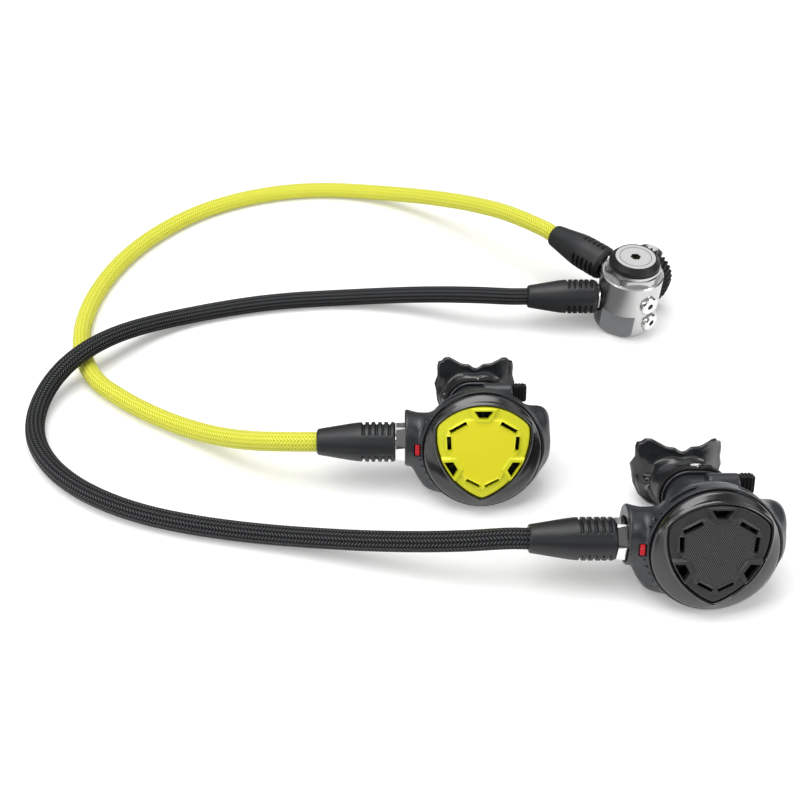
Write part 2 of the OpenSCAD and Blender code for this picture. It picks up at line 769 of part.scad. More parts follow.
// Places one of the button's three vents; angle 0 is the top one
module vent_at(angle) {
    translate([0, pattern_y, 0]) rotate([0, 0, angle]) translate([0, 20.1 - abs(angle) / 120, 0])
        children();
}

module purge_button() {
    dome = 0.8;
    vent_angles = [0, 122, -122];
    color([0.35, 0.36, 0.37]) difference() {
        union() {
            translate([0, 0, button_bottom])
                linear_extrude(button_t) shield_2d(-button_gap);
            translate([0, 0, button_bottom + button_t - eps])
                linear_extrude(dome) shield_2d(-2.5);
            for (a = vent_angles) vent_at(a) translate([0, 0, button_bottom + button_t])
                linear_extrude(dome + 0.7)
                polygon([[-7.3, 2.9], [7.3, 2.9], [3.9, -4.9], [-3.9, -4.9]]);
            translate([0, 0, skin_top + gap])
                cylinder(d = button_boss_d, h = button_bottom - skin_top - gap + eps);
        }
        for (a = vent_angles) vent_at(a) translate([0, 0, -8])
            linear_extrude(12) polygon([[-4.4, 1.6], [4.4, 1.6], [2.7, -2], [-2.7, -2]]);
        for (s = [-1, 1]) {
            button_slot([s * 14, 12.6], s * -30, 9);
            button_slot([s * 18.9, 3.4], s * 87, 8.4);
            button_slot([s * 5.2, -20.4], s * 28, 8.4);
        }
        translate([0, 0, skin_top - cut])
            cylinder(d = button_boss_d - 3, h = button_bottom - skin_top + cut);
    }
}

module button_slot(centre, angle, length) {
    translate([centre[0], centre[1] + pattern_y, -8]) rotate([0, 0, angle])
        linear_extrude(12) square([length, 2.1], center = true);
}

module purge_spring() {
    color("silver") translate([0, 0, hub_top])
        coil(button_boss_d + 3.6, purge_wire_d, button_bottom - hub_top, 2.5);
}

module demand_diaphragm() {
    color([0.25, 0.25, 0.26]) {
        difference() {
            translate([0, 0, skin_top - skin_t]) cylinder(d = case_rim_d - 1, h = skin_t);
            translate([0, 0, skin_top - 0.35]) ring(case_bore_d - 8, plate_d + 6, 1);
        }
        translate([0, 0, skin_top - plate_t]) cylinder(d = plate_d, h = plate_t - skin_t + eps);
    }
}

// Outer body of the case, before it is hollowed
module case_outside() {
    collar_front = cover_back - gap;
    collar_t = 1.3;
    // front rim, collar and bowl
    translate([0, 0, collar_front - collar_t])
        cylinder(d = case_rim_d, h = rim_z - collar_front + collar_t);
    translate([0, 0, collar_front - collar_t]) cylinder(d = collar_d, h = collar_t);
    translate([0, 0, -back_depth])
        cylinder(d1 = back_d, d2 = collar_d, h = back_depth + collar_front - collar_t + eps);
    // side bosses with bevelled ends; the right one is higher
    mirror([1, 0, 0]) side_boss(1, boss_d, case_half_w - 1.5);
    side_boss(3.5, boss_d + 1, case_half_w);
    flanks();
    // inlet collar
    translate([-inlet_reach, 0, -inlet_depth]) rotate([0, 90, 0])
        cylinder(d = nut_af / cos(30) + 4, h = 5);
    // outlet tube with its blend into the bowl
    translate([0, tube_y, -tube_end]) linear_extrude(tube_end - root_depth) slot_2d(tube_w, tube_h);
    hull() {
        translate([0, tube_y, -back_depth - 6]) linear_extrude(1) slot_2d(tube_w, tube_h, $fn = 32);
        translate([0, tube_y - 5.5, -root_depth]) linear_extrude(1)
            slot_2d(tube_w + 13, tube_h + 14, $fn = 32);
    }
    // boss that carries the venturi lever
    translate([4, pivot_y, pivot_z]) rotate([0, 90, 0]) cylinder(d = 12, h = pivot_x - 4);
}

root_depth = 20;                // depth at which the tube's blend is widest
flank_r = 7.5;
flank_z = -18;
flank_x = case_half_w + 0.5 - flank_r;
flank_low = (flank_r - primary_face[2] - flank_z * sin(tilt)) / cos(tilt);

// Lower flanks of the case; their round underside stands on the ground
module flanks() {
    hull() {
        for (s = [-1, 1], corner = [[flank_x, 3], [flank_x, -10], [flank_x - 6, -20]])
            translate([s * corner[0], corner[1], flank_z]) sphere(r = flank_r, $fn = 24);
        translate([-12, flank_low, flank_z]) rotate([0, 90, 0]) cylinder(r = flank_r, h = 24, $fn = 48);
    }
}

// A boss on the right side of the case, centred at height y
module side_boss(y, d, reach) {
    bevel = 3;
    slab = 0.5;
    hull() for (step = [[reach / 2, d], [reach - bevel, d], [reach - slab, d - 1.6 * bevel]])
        translate([step[0], y, -inlet_depth]) rotate([0, 90, 0]) boss_slab(step[1], slab);
}

pivot_x = 20.2;                 // outer end of the venturi boss
pivot_y = tube_y + 10;
pivot_z = -tube_end + sleeve_l + 8.5;

module boss_slab(d, h) {
    for (s = [-1, 1]) translate([0, s * boss_spread / 2, 0]) cylinder(d = d, h = h, $fn = 32);
}

module case_shell() {
    inner_back = -back_depth + wall;
    color([0.22, 0.23, 0.25]) difference() {
        case_outside();
        // room for the cover ring
        translate([0, 0, cover_back - gap]) ring(cover_d + 2 * gap, case_rim_d, 20);
        // chamber
        translate([0, 0, -18]) cylinder(d = case_bore_d, h = 18 + cut);
        translate([0, 0, inner_back]) cylinder(d1 = 38, d2 = case_bore_d, h = -inner_back - 18 + eps);
        // outlet
        translate([0, tube_y, -tube_end - cut]) linear_extrude(tube_end - root_depth)
            slot_2d(tube_w - 2 * wall, tube_h - 2 * wall);
        // inlet: seat of the nut, bore of the barrel and its blind end
        inlet_bore(-inlet_reach - cut, -inlet_reach + 3.5, nut_af / cos(30) + 1.4);
        inlet_bore(-inlet_reach, -30, inlet_thread_d + 2 * thread_fit);
        inlet_bore(-31, barrel_end + 0.5, barrel_d + 2 * thread_fit);
        // exhaust port in the back wall, with the spider that holds the valve
        translate([0, exhaust_y, -back_depth - cut]) difference() {
            cylinder(d = exhaust_port_d, h = wall + 2 * cut);
            cylinder(d = exhaust_stem_d + 4, h = wall + 2 * cut);
            for (a = [0, 90]) rotate([0, 0, a])
                translate([-exhaust_port_d, -0.8, 0]) cube([2 * exhaust_port_d, 1.6, wall + 2 * cut]);
        }
        translate([0, exhaust_y, -back_depth - cut])
            cylinder(d = exhaust_stem_d + 2 * thread_fit, h = wall + 2 * cut);
        translate([0, exhaust_y, -back_depth - 8])
            cylinder(d = exhaust_flap_d + 4 * gap, h = 8);
        // long slots on top of the collar
        for (a = [60, 120]) rotate([0, 0, a]) translate([collar_d / 2 - 1.6, 0, cover_back - 3.4])
            cube([4, 20, 2], center = true);
        // pocket of the lock tab
        translate([tab_x - gap, tab_y - gap, tab_z - tab_travel - 0.2])
            cube(tab_size + [2 * gap, 2 * gap, tab_travel + 3 * cut]);
        // shaft of the venturi lever, and room for its vane
        translate([-7, pivot_y, pivot_z]) rotate([0, 90, 0])
            cylinder(d = shaft_d + 2 * running_fit, h = pivot_x + 8);
    }
}

module inlet_bore(x1, x2, d) {
    translate([x1, 0, -inlet_depth]) rotate([0, 90, 0]) cylinder(d = d, h = x2 - x1);
}

exhaust_y = -12;
exhaust_port_d = 15;
exhaust_flap_d = exhaust_port_d + 3.5;
exhaust_stem_d = 4.6;
shaft_d = 3;
tab_size = [3.4, 6.6, 3];
tab_travel = 1;
tab_x = -cover_d / 2 - 0.8 - tab_size[0];
tab_y = -5;
tab_z = -9.9;

module lock_tab() {
    color("crimson") translate([tab_x, tab_y, tab_z]) cube(tab_size);
}

module exhaust_valve() {
    color([0.2, 0.2, 0.2]) translate([0, exhaust_y, -back_depth]) {
        translate([0, 0, -1.2]) cylinder(d = exhaust_flap_d, h = 1.2);
        translate([0, 0, -eps]) cylinder(d = exhaust_stem_d, h = wall + 2 * eps);
        translate([0, 0, wall]) cylinder(d1 = exhaust_stem_d + 2, d2 = exhaust_stem_d - 1, h = 1.6);
    }
}

module valve_barrel() {
    color("silver") difference() {
        union() {
            inlet_bore(-nut_start + 1.7, -31, inlet_thread_d);
            inlet_bore(-31 - eps, barrel_end, barrel_d);
            // two ears that hold the lever's pin
            for (s = [-1, 1]) translate([lever_x - 2, s * 3.8 - 0.8, barrel_top - 1])
                cube([4, 1.6, lever_z - barrel_top + 2.2]);
        }
        inlet_bore(-nut_start, -34, stem_d + 2 * running_fit);
        inlet_bore(-35, -27, 4);
        inlet_bore(-28, barrel_end - 1.5, barrel_bore_d);
        // slot for the lever's foot
        translate([lever_x - 2.5, -2.4, -inlet_depth]) cube([5.5, 4.8, barrel_d]);
        // outlet window towards the mouthpiece
        translate([-18, -3, -inlet_depth - barrel_d]) cube([16, 6, barrel_d - 1]);
        translate([lever_x, -6, lever_z]) rotate([-90, 0, 0])
            cylinder(d = pin_d + 2 * running_fit, h = 12);
    }
}

pin_d = 1.4;
barrel_end = case_half_w - 4.5;

module poppet() {
    color("gray") {
        inlet_bore(-27.8, -25, barrel_bore_d - 1);
        inlet_bore(-25 - eps, lever_x - 3, poppet_d);
        inlet_bore(lever_x - 3 - eps, poppet_face, 3.2);
        inlet_bore(poppet_face - eps, poppet_face + 4, barrel_bore_d - 2 * running_fit);
    }
}

module poppet_spring() {
    start = poppet_face + 4;
    color("silver") translate([start, 0, -inlet_depth]) rotate([0, 90, 0])
        coil(barrel_bore_d - 1, 0.9, 34 - start, 6, 10);
}

module demand_lever() {
    rise = lever_tip_z - lever_z;
    arm = norm([lever_x, rise]);
    color("gold") {
        translate([lever_x, -4.5, lever_z]) rotate([-90, 0, 0]) cylinder(d = pin_d, h = 9, $fn = 32);
        translate([lever_x, 0, lever_z]) rotate([0, atan(rise / lever_x), 0])
            translate([-arm, -2, -lever_t / 2]) cube([arm, 4, lever_t]);
        for (y = [-1.9, 1]) translate([lever_x - 0.5, y, lever_z - foot_l]) cube([1, 0.9, foot_l]);
        translate([0, 2.3, lever_tip_z]) rotate([90, 0, 0]) cylinder(r = lever_tip_r, h = 4.6, $fn = 32);
    }
}

module venturi_lever() {
    paddle = [8.2, 10, 6.5];
    color([0.08, 0.08, 0.09]) {
        translate([-5, pivot_y, pivot_z]) rotate([0, 90, 0]) cylinder(d = shaft_d, h = pivot_x + 6);
        difference() {
            translate([pivot_x + gap, pivot_y - paddle[1] / 2, pivot_z - paddle[2] / 2]) cube(paddle);
            for (i = [0 : 3])
                translate([pivot_x + gap + 1 + 1.9 * i, pivot_y - 4, pivot_z + paddle[2] / 2 - 0.8])
                    cube([0.9, 8, 1.6]);
        }
        // vane in the outlet tube
        translate([-4, pivot_y - 7, pivot_z - 0.6]) cube([12, 7, 1.2]);
    }
}

// Right half of the mouthpiece shield's outline, from the notch down, about the tube's axis
shield_half = [
    [4, 20], [9, 20.3], [13, 22], [17, 23.2], [20.5, 22], [22.4, 18], [22.6, 12],
    [24.2, 6.5], [23.4, 2], [22.6, -4], [20.5, -9.5], [16, -13.5], [10, -15.5], [5, -15.8]];

// A closed smooth curve through points
function smooth(p, steps = 4) = [for (i = [0 : len(p) - 1], k = [0 : steps - 1])
    let (a = p[(i + len(p) - 1) % len(p)], b = p[i], c = p[(i + 1) % len(p)],
         d = p[(i + 2) % len(p)], t = k / steps)
    0.5 * (2 * b + (c - a) * t + (2 * a - 5 * b + 4 * c - d) * t * t
           + (3 * b - a - 3 * c + d) * t * t * t)];

module shield_outline() {
    n = len(shield_half);
    scale([shield_w / 48.4, shield_h / 23.2]) polygon(smooth(concat(
        [[0, 17.8]], shield_half, [[0, -15.4]],
        [for (i = [n - 1 : -1 : 0]) [-shield_half[i][0], shield_half[i][1]]])));
}

module mouthpiece() {
    sleeve_start = tube_end - sleeve_l;
    outer_w = tube_w + 2 * silicone_t;
    outer_h = tube_h + 2 * silicone_t;
    sheet_t = 2.4;
    bite_x = 16;
    bite_w = 8;
    color([0.13, 0.13, 0.14]) translate([0, tube_y, 0]) difference() {
        union() {
            translate([0, 0, -tube_end - 2]) linear_extrude(tube_end + 2 - sleeve_start)
                slot_2d(outer_w, outer_h);
            translate([0, 0, -shield_depth - 3]) linear_extrude(shield_depth + 3 - tube_end)
                slot_2d(outer_w - 7, outer_h - 6);
            // shield, bent round the lips
            intersection() {
                translate([0, 0, -shield_depth - bite_l]) linear_extrude(bite_l + 4) shield_outline();
                translate([0, 2 * shield_h, -shield_depth - shield_r]) rotate([90, 0, 0])
                    ring(2 * shield_r, 2 * (shield_r - sheet_t), 4 * shield_h);
            }
            // bite tabs
            for (s = [-1, 1]) translate([s * bite_x - bite_w / 2, 0, -shield_depth - bite_l]) {
                translate([0, -1.5, 0]) cube([bite_w, 3, bite_l - sheet_t - 0.6]);
                translate([0, -4, 0]) cube([bite_w, 8, 2.2]);
            }
        }
        translate([0, 0, -tube_end]) linear_extrude(tube_end)
            slot_2d(tube_w + 2 * thread_fit, tube_h + 2 * thread_fit);
        translate([0, 0, -shield_depth - bite_l - 1]) linear_extrude(shield_depth + bite_l + 2 - tube_end)
            slot_2d(tube_w - 8, tube_h - 10);
    }
}

module mouthpiece_clamp() {
    outer_w = tube_w + 2 * silicone_t;
    outer_h = tube_h + 2 * silicone_t;
    band = 1;
    color([0.1, 0.1, 0.1]) translate([0, tube_y, -tube_end + 1.5]) difference() {
        union() {
            linear_extrude(clamp_w) slot_2d(outer_w + 2 * band, outer_h + 2 * band);
            translate([-2.5, outer_h / 2, 0]) cube([5, 2.4, clamp_w]);
        }
        translate([0, 0, -cut]) linear_extrude(clamp_w + 2 * cut)
            slot_2d(outer_w + 2 * thread_fit, outer_h + 2 * thread_fit);
    }
}

// --- The two second stages -----------------------------------------------

module primary_case() { on_primary() case_shell(); }
module primary_cover_ring() { on_primary() cover_ring(); }
module primary_purge_button() { on_primary() purge_button(); }
module primary_purge_spring() { on_primary() purge_spring(); }
module primary_lock_tab() { on_primary() lock_tab(); }
module primary_diaphragm() { on_primary() demand_diaphragm(); }
module primary_lever() { on_primary() demand_lever(); }
module primary_valve_barrel() { on_primary() valve_barrel(); }
module primary_poppet() { on_primary() poppet(); }
module primary_poppet_spring() { on_primary() poppet_spring(); }
module primary_venturi_lever() { on_primary() venturi_lever(); }
module primary_mouthpiece() { on_primary() mouthpiece(); }
module primary_clamp() { on_primary() mouthpiece_clamp(); }
module primary_exhaust_valve() { on_primary() exhaust_valve(); }

module octopus_case() { on_octopus() case_shell(); }
module octopus_cover_ring() { on_octopus() cover_ring(); }
module octopus_purge_button() { color([0.9, 0.93, 0.1]) on_octopus() purge_button(); }
module octopus_purge_spring() { on_octopus() purge_spring(); }
module octopus_lock_tab() { on_octopus() lock_tab(); }
module octopus_diaphragm() { on_octopus() demand_diaphragm(); }
module octopus_lever() { on_octopus() demand_lever(); }
module octopus_valve_barrel() { on_octopus() valve_barrel(); }
module octopus_poppet() { on_octopus() poppet(); }
module octopus_poppet_spring() { on_octopus() poppet_spring(); }
module octopus_venturi_lever() { on_octopus() venturi_lever(); }
module octopus_mouthpiece() { on_octopus() mouthpiece(); }
module octopus_clamp() { on_octopus() mouthpiece_clamp(); }
module octopus_exhaust_valve() { on_octopus() exhaust_valve(); }

first_stage_body();
spring_carrier();
cap_ring();
cap_disc();
adjuster_screw();
main_spring();
spring_pad();
first_stage_diaphragm();
valve_lifter();
orifice_insert();
tank_side_valve();
valve_spring();
lp_port_plug();
gauge_port_plug();
din_retainer();
din_hand_wheel();
din_thread_sleeve();
din_oring();
din_filter();
primary_hose();
primary_first_stage_boot();
primary_fitting();
primary_second_stage_boot();
primary_swivel_nut();
primary_hose_stem();
octopus_hose();
octopus_first_stage_boot();
octopus_fitting();
octopus_second_stage_boot();
octopus_swivel_nut();
octopus_hose_stem();
primary_case();
primary_cover_ring();
primary_purge_button();
primary_purge_spring();
primary_lock_tab();
primary_diaphragm();
primary_lever();
primary_valve_barrel();
primary_poppet();
primary_poppet_spring();
primary_venturi_lever();
primary_mouthpiece();
primary_clamp();
primary_exhaust_valve();
octopus_case();
octopus_cover_ring();
octopus_purge_button();
octopus_purge_spring();
octopus_lock_tab();
octopus_diaphragm();
octopus_lever();
octopus_valve_barrel();
octopus_poppet();
octopus_poppet_spring();
octopus_venturi_lever();
octopus_mouthpiece();
octopus_clamp();
octopus_exhaust_valve();
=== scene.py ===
import json
from math import atan2, ceil, cos, pi, radians, sin, sqrt, tau

import bpy
import numpy as np
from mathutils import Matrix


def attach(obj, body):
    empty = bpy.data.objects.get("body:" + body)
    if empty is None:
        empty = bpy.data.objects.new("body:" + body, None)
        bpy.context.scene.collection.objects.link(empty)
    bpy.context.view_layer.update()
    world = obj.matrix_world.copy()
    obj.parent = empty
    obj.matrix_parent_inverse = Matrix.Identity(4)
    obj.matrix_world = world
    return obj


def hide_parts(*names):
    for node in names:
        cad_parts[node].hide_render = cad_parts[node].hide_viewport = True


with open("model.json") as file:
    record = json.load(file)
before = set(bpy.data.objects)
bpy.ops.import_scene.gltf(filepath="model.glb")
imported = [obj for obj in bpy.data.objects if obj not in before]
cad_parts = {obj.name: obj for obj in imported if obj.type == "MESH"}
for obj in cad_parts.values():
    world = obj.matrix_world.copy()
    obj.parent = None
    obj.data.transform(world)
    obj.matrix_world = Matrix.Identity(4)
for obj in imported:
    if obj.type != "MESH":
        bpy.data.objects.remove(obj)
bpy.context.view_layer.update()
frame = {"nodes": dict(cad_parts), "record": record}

import openvdb
from mathutils import Matrix, Vector
from mathutils.geometry import delaunay_2d_cdt

MM = 0.001

# --- Where things are, in millimetres, as in the part's source ---

TILT = 28                 # degrees by which both faces look upwards
FACES = {"primary": (7, -223.5, 36), "octopus": (-108, -154.5, 36)}
INLET_DEPTH = 19          # of the hose's axis behind a face
NUT_START = 48.5          # reach of the swivel nut's far end from a face's axis
BOOT_GAP = 0.3            # between a boot and its swivel nut
BOOT_L = 45
BOOT_START = 22.8         # reach of the boots at the first stage from its axis
HOSE_D = 11.5
PORTS = {"primary": (180, 22.75), "octopus": (132, 37.25)}  # direction and height
DIN_AZ = 63               # direction and height of the DIN connector
DIN_Z = 22

# Listed middles of the two routes
LAY = {
    "primary": [
        (-101, 2, 22.3), (-125, 8, 18), (-149, 14, 12.8), (-174, 18, 8.4),
        (-200, 19, 6), (-226, 17, 5.8), (-252, 13, 5.8), (-277, 7, 5.8),
        (-300, -1, 6.6), (-320, -12, 9.6), (-336, -25.5, 14), (-348.5, -39, 17.2),
        (-359, -51.5, 17.8), (-368.5, -63, 15.4), (-376, -76, 11.2),
        (-379.5, -91, 7.6), (-378, -107, 5.9), (-371, -123.5, 5.8),
        (-358.5, -139.5, 5.8), (-341.5, -153.5, 5.8), (-321, -165, 5.8),
        (-298, -174, 5.8), (-273, -180.5, 5.8), (-247, -185.5, 6.2),
        (-221, -190, 7.8), (-195, -194.5, 10.8), (-170, -199, 14.8),
        (-145, -203, 19.4), (-121, -205.8, 23.8)],
    "octopus": [
        (-75, 80.5, 34.6), (-96.5, 99.5, 29.2), (-118, 116.5, 22.6), (-140, 132, 15.8),
        (-163, 144.5, 10), (-188, 153, 6.6), (-214, 156, 5.8), (-240, 154, 5.8),
        (-265, 148, 5.8), (-289, 138, 5.8), (-311, 124, 5.8), (-330, 106, 5.8),
        (-346, 85, 5.8), (-358.5, 61, 5.8), (-366.5, 35.5, 5.8),
        (-370.5, 9, 5.8), (-369.5, -18, 5.8), (-362.5, -43, 5.8),
        (-349, -65, 5.8), (-330, -81, 5.8), (-311, -93.5, 5.8),
        (-293, -103.5, 6.4), (-277, -112, 8.6), (-262.5, -119.8, 12.4),
        (-248.5, -127, 17.4), (-235, -132.8, 22.3), (-222, -136.4, 25.8)],
}
# How far the first two and the last two points of a route lie beyond its boots
END_STRAIGHTS = {"primary": ((0, 12), (12, 0)), "octopus": ((0, 12), (9, 0))}


def stage_matrix(stage):
    """From a second stage's own frame (x to the right, y up the face, z out of it) to the set's."""
    return Matrix.Translation(Vector(FACES[stage]) * MM) @ Matrix.Rotation(radians(90 - TILT), 4, "X")


def inlet_matrix(stage, reach):
    """z = 0 on the inlet's axis at a distance from the face, looking along -X."""
    return (stage_matrix(stage) @ Matrix.Translation((-reach * MM, 0, -INLET_DEPTH * MM))
            @ Matrix.Rotation(radians(-90), 4, "Y"))


def radial_matrix(azimuth, height, reach):
    """z runs outwards along a horizontal direction, from a distance to the first stage's axis."""
    return (Matrix.Translation((0, 0, height * MM)) @ Matrix.Rotation(radians(azimuth), 4, "Z")
            @ Matrix.Rotation(radians(90), 4, "Y") @ Matrix.Translation((0, 0, reach * MM)))


# --- Node trees ---

class Nodes:
    """Makes and links the nodes of a tree with a few short calls."""

    def __init__(self, tree):
        self.tree = tree

    def plug(self, value, socket):
        """Links or sets a socket, unless the value is None; a colour may come without its alpha."""
        if isinstance(value, bpy.types.NodeSocket):
            self.tree.links.new(value, socket)
        elif value is not None:
            socket.default_value = (*value, 1) if socket.type == "RGBA" and len(value) == 3 else value

    def node(self, kind, *values, out=0, **properties):
        made = self.tree.nodes.new("ShaderNode" + kind)
        for key, value in properties.items():
            setattr(made, key, value)
        for i, value in enumerate(values):
            self.plug(value, made.inputs[i])
        return made.outputs[out]

    def math(self, operation, *values):
        return self.node("Math", *values, operation=operation)

    def times(self, first, second):
        return self.math("MULTIPLY", first, second)

    def axis(self, point, index):
        return self.node("SeparateXYZ", point, out=index)

    def ray(self, kind):
        """1 to rays of a kind, 0 to others."""
        return self.node("LightPath", out=f"Is {kind} Ray")


class Shader(Nodes):
    """A material round one Principled node."""

    def __init__(self, name, colour, roughness, metallic=0.0):
        self.material = bpy.data.materials.new(name)
        self.material.use_nodes = True
        super().__init__(self.material.node_tree)
        self.bsdf = self.tree.nodes["Principled BSDF"]
        self.set("Base Color", colour)
        self.set("Roughness", roughness)
        self.set("Metallic", metallic)

    def set(self, socket, value):
        self.plug(value, self.bsdf.inputs[socket])

    def object_point(self):
        return self.node("TexCoord", out="Object")

    def noise(self, scale, detail=3.0, roughness=0.55, point=None):
        point = point or self.object_point()
        return self.node("TexNoise", point, None, scale, detail, roughness, out="Fac")

    def range(self, value, low, high, to_low=0, to_high=1):
        return self.node("MapRange", value, low, high, to_low, to_high)

    def mix(self, share, first, second):
        """A mix of two colours, whose sockets come after those for numbers and vectors."""
        others = [None] * 5
        return self.node("Mix", share, *others, first, second, out=2, data_type="RGBA")

    def bump(self, height, depth_mm, strength):
        made = self.tree.nodes.new("ShaderNodeBump")
        made.inputs["Strength"].default_value = strength
        made.inputs["Distance"].default_value = depth_mm * MM
        self.plug(height, made.inputs["Height"])
        self.set("Normal", made.outputs[0])


# --- Camera, floor and light, in metres ---

CAMERA_PLACE = (-0.1542, -0.5196, 0.443)
CAMERA_PITCH = 45
LENS = 44.1
SENSOR_W = 36
NEAREST = 0.01            # the camera sees nothing closer than this

FLOOR_HALF = 4
FLOOR_GLOW = 0.16         # the floor's own light, which makes it show white
PAINTED_REFLECTION_X = (-0.035, 0.022)  # painted reflection: a strip of floor that is dark to glossy rays only fades out over this width
PAINTED_REFLECTION_Y = (-0.13, -0.1)    # and fades in over this depth, so that the chrome mirrors a painted dark strip in place of a studio card
PAINTED_REFLECTION_SHARE = 0.85
PAINTED_REFLECTION_COLOUR = (0.05, 0.05, 0.05)

SKY_LIGHT = 0.5
# What glossy rays meet, from straight down (0) to straight up (1): bands that give metal its contrast
BANDS = ((0.0, 1.0), (0.5, 0.45), (0.55, 0.05), (0.69, 0.07), (0.75, 0.75), (0.88, 0.85), (0.94, 0.12))
# Place, aim, size and watts of each area lamp
LAMPS = {
    "key": ((-0.25, 0.1, 1.2), (-0.15, -0.05, 0), (1.1, 0.8), 11.5),
    "left_strip": ((-0.95, -0.45, 0.5), (-0.1, -0.1, 0.02), (0.25, 0.8), 3.0),
    "right_fill": ((0.75, -0.45, 0.5), (0.0, -0.1, 0.02), (0.3, 0.5), 2.4)}


def new_object(name, data):
    made = bpy.data.objects.new(name, data)
    bpy.context.scene.collection.objects.link(made)
    return made


def make_camera():
    camera = new_object("camera", bpy.data.cameras.new("camera"))
    camera.data.lens = LENS
    camera.data.sensor_width = SENSOR_W
    camera.data.clip_start = NEAREST
    camera.location = CAMERA_PLACE
    camera.rotation_euler = (radians(CAMERA_PITCH), 0, 0)
    bpy.context.scene.camera = camera


def area_lamp(name, place, aim, size, watts):
    lamp = new_object(name, bpy.data.lights.new(name, "AREA"))
    lamp.data.shape = "RECTANGLE"
    lamp.data.size, lamp.data.size_y = size
    lamp.data.energy = watts
    lamp.location = place
    lamp.rotation_euler = (Vector(aim) - Vector(place)).to_track_quat("-Z", "Y").to_euler()


def make_world():
    """White to the camera, banded to glossy rays, and an even sky to all others."""
    world = bpy.data.worlds.new("studio")
    bpy.context.scene.world = world
    world.use_nodes = True
    tree = world.node_tree
    tree.nodes.clear()
    nodes = Nodes(tree)
    height = nodes.axis(nodes.node("TexCoord", out="Generated"), 2)
    ramp = tree.nodes.new("ShaderNodeValToRGB")
    nodes.plug(nodes.math("MULTIPLY_ADD", height, 0.5, 0.5), ramp.inputs[0])
    while len(ramp.color_ramp.elements) < len(BANDS):
        ramp.color_ramp.elements.new(0.5)
    for element, (at, level) in zip(ramp.color_ramp.elements, BANDS):
        element.position = at
        element.color = (level, level, level, 1)
    mirrored_ray = nodes.math("MAXIMUM", nodes.ray("Glossy"), nodes.ray("Transmission"))
    sky = nodes.node("Background", None, SKY_LIGHT)
    bands = nodes.node("Background", ramp.outputs[0])
    light = nodes.node("MixShader", mirrored_ray, sky, bands)
    light = nodes.node("MixShader", nodes.ray("Camera"), light, nodes.node("Background"))
    tree.links.new(light, tree.nodes.new("ShaderNodeOutputWorld").inputs[0])


def floor_material():
    """White paper that takes the object's shadow and glows a little, so that it shows white around it. A
    strip of it is painted dark for glossy rays only, as a painted reflection in the chrome.
    """
    shader = Shader("floor_paper", (0.93, 0.93, 0.93), 0.9)
    shader.set("Specular IOR Level", 0.0)
    paper = shader.mix(shader.noise(900, 2), (0.925, 0.925, 0.925), (0.935, 0.935, 0.935))
    point = shader.object_point()
    glossy = shader.ray("Glossy")
    # Painted reflection: this part of the floor turns dark for glossy rays only, so the chrome mirrors a dark
    # strip that no object makes; the camera still sees white paper
    painted_reflection = shader.times(shader.range(shader.axis(point, 0), *PAINTED_REFLECTION_X, PAINTED_REFLECTION_SHARE, 0.0),
                        shader.range(shader.axis(point, 1), *PAINTED_REFLECTION_Y))
    painted_reflection = shader.times(painted_reflection, glossy)
    shader.set("Base Color", shader.mix(painted_reflection, paper, PAINTED_REFLECTION_COLOUR))
    seen = shader.math("MAXIMUM", shader.ray("Camera"), glossy)
    seen = shader.math("MAXIMUM", seen, shader.ray("Transmission"))
    seen = shader.times(seen, shader.math("SUBTRACT", 1.0, painted_reflection))
    shader.set("Emission Color", (1, 1, 1))
    shader.set("Emission Strength", shader.times(seen, FLOOR_GLOW))
    return shader.material


def make_stage():
    bpy.context.scene.view_settings.view_transform = "Standard"
    make_camera()
    make_world()
    for name, values in LAMPS.items():
        area_lamp(name, *values)
    mesh = bpy.data.meshes.new("floor")
    corners = [(x * FLOOR_HALF, y * FLOOR_HALF, 0) for x, y in ((-1, -1), (1, -1), (1, 1), (-1, 1))]
    mesh.from_pydata(corners, [], [(0, 1, 2, 3)])
    floor = new_object("floor", mesh)
    floor.data.materials.append(floor_material())


# --- Materials ---

TURNING_LINES = 5200      # fineness of the lines that a lathe leaves
PLAIT_COLUMNS = 14        # columns of strands round a hose
PLAIT_PITCH = 1.9         # mm between strands along a hose
PLAIT_LEAN = 1.3          # strands that one column's slant passes
DOT_PITCH = 1.05          # mm between the dots of the grey button


def moulded(name, colour, roughness, grain_mm=0.02, grain_scale=2600, spread=0.12, specular=0.5, coat=0.0):
    """Moulded plastic or rubber: a fine grain, faint cloudy colour and small changes of gloss."""
    lighter = tuple(min(1.0, c * (1 + spread) + 0.002) for c in colour)
    shader = Shader(name, colour, roughness)
    cloud = shader.noise(90, 4)
    shader.set("Base Color", shader.mix(shader.range(cloud, 0.35, 0.7), colour, lighter))
    shader.set("Roughness", shader.range(shader.noise(160, 3), 0.3, 0.7, roughness * 0.9, roughness * 1.12))
    shader.set("Specular IOR Level", specular)
    shader.set("Coat Weight", coat)
    if coat:
        shader.set("Coat Roughness", 0.08)
    shader.bump(shader.noise(grain_scale, 2), grain_mm, 0.6)
    return shader.material


def plated(name, colour, roughness, turned=0.0, wear=0.10):
    """Bare or plated metal with fine haze, and turning lines round z where turned is above 0."""
    darker = tuple(c * (1 - wear) for c in colour)
    shader = Shader(name, colour, roughness, 1.0)
    haze = shader.noise(240, 4)
    shader.set("Base Color", shader.mix(shader.range(haze, 0.35, 0.75), colour, darker))
    shader.set("Roughness", shader.range(shader.noise(420, 3), 0.25, 0.75, roughness * 0.9, roughness * 1.1))
    if turned:
        height = shader.times(shader.axis(shader.object_point(), 2), TURNING_LINES)
        lines = shader.noise(1.0, 2, 0.6, shader.node("CombineXYZ", 0.0, 0.0, height))
        shader.bump(lines, turned, 0.5)
    else:
        shader.bump(shader.noise(1500, 2), 0.0015, 0.3)
    return shader.material


def wire(name, colour):
    """Drawn wire: fine lines along the wire and a little soot in the gloss."""
    shader = Shader(name, colour, 0.32, 1.0)
    shader.set("Roughness", shader.range(shader.noise(700, 3), 0.3, 0.7, 0.24, 0.42))
    shader.bump(shader.noise(2400, 3), 0.01, 0.5)
    return shader.material


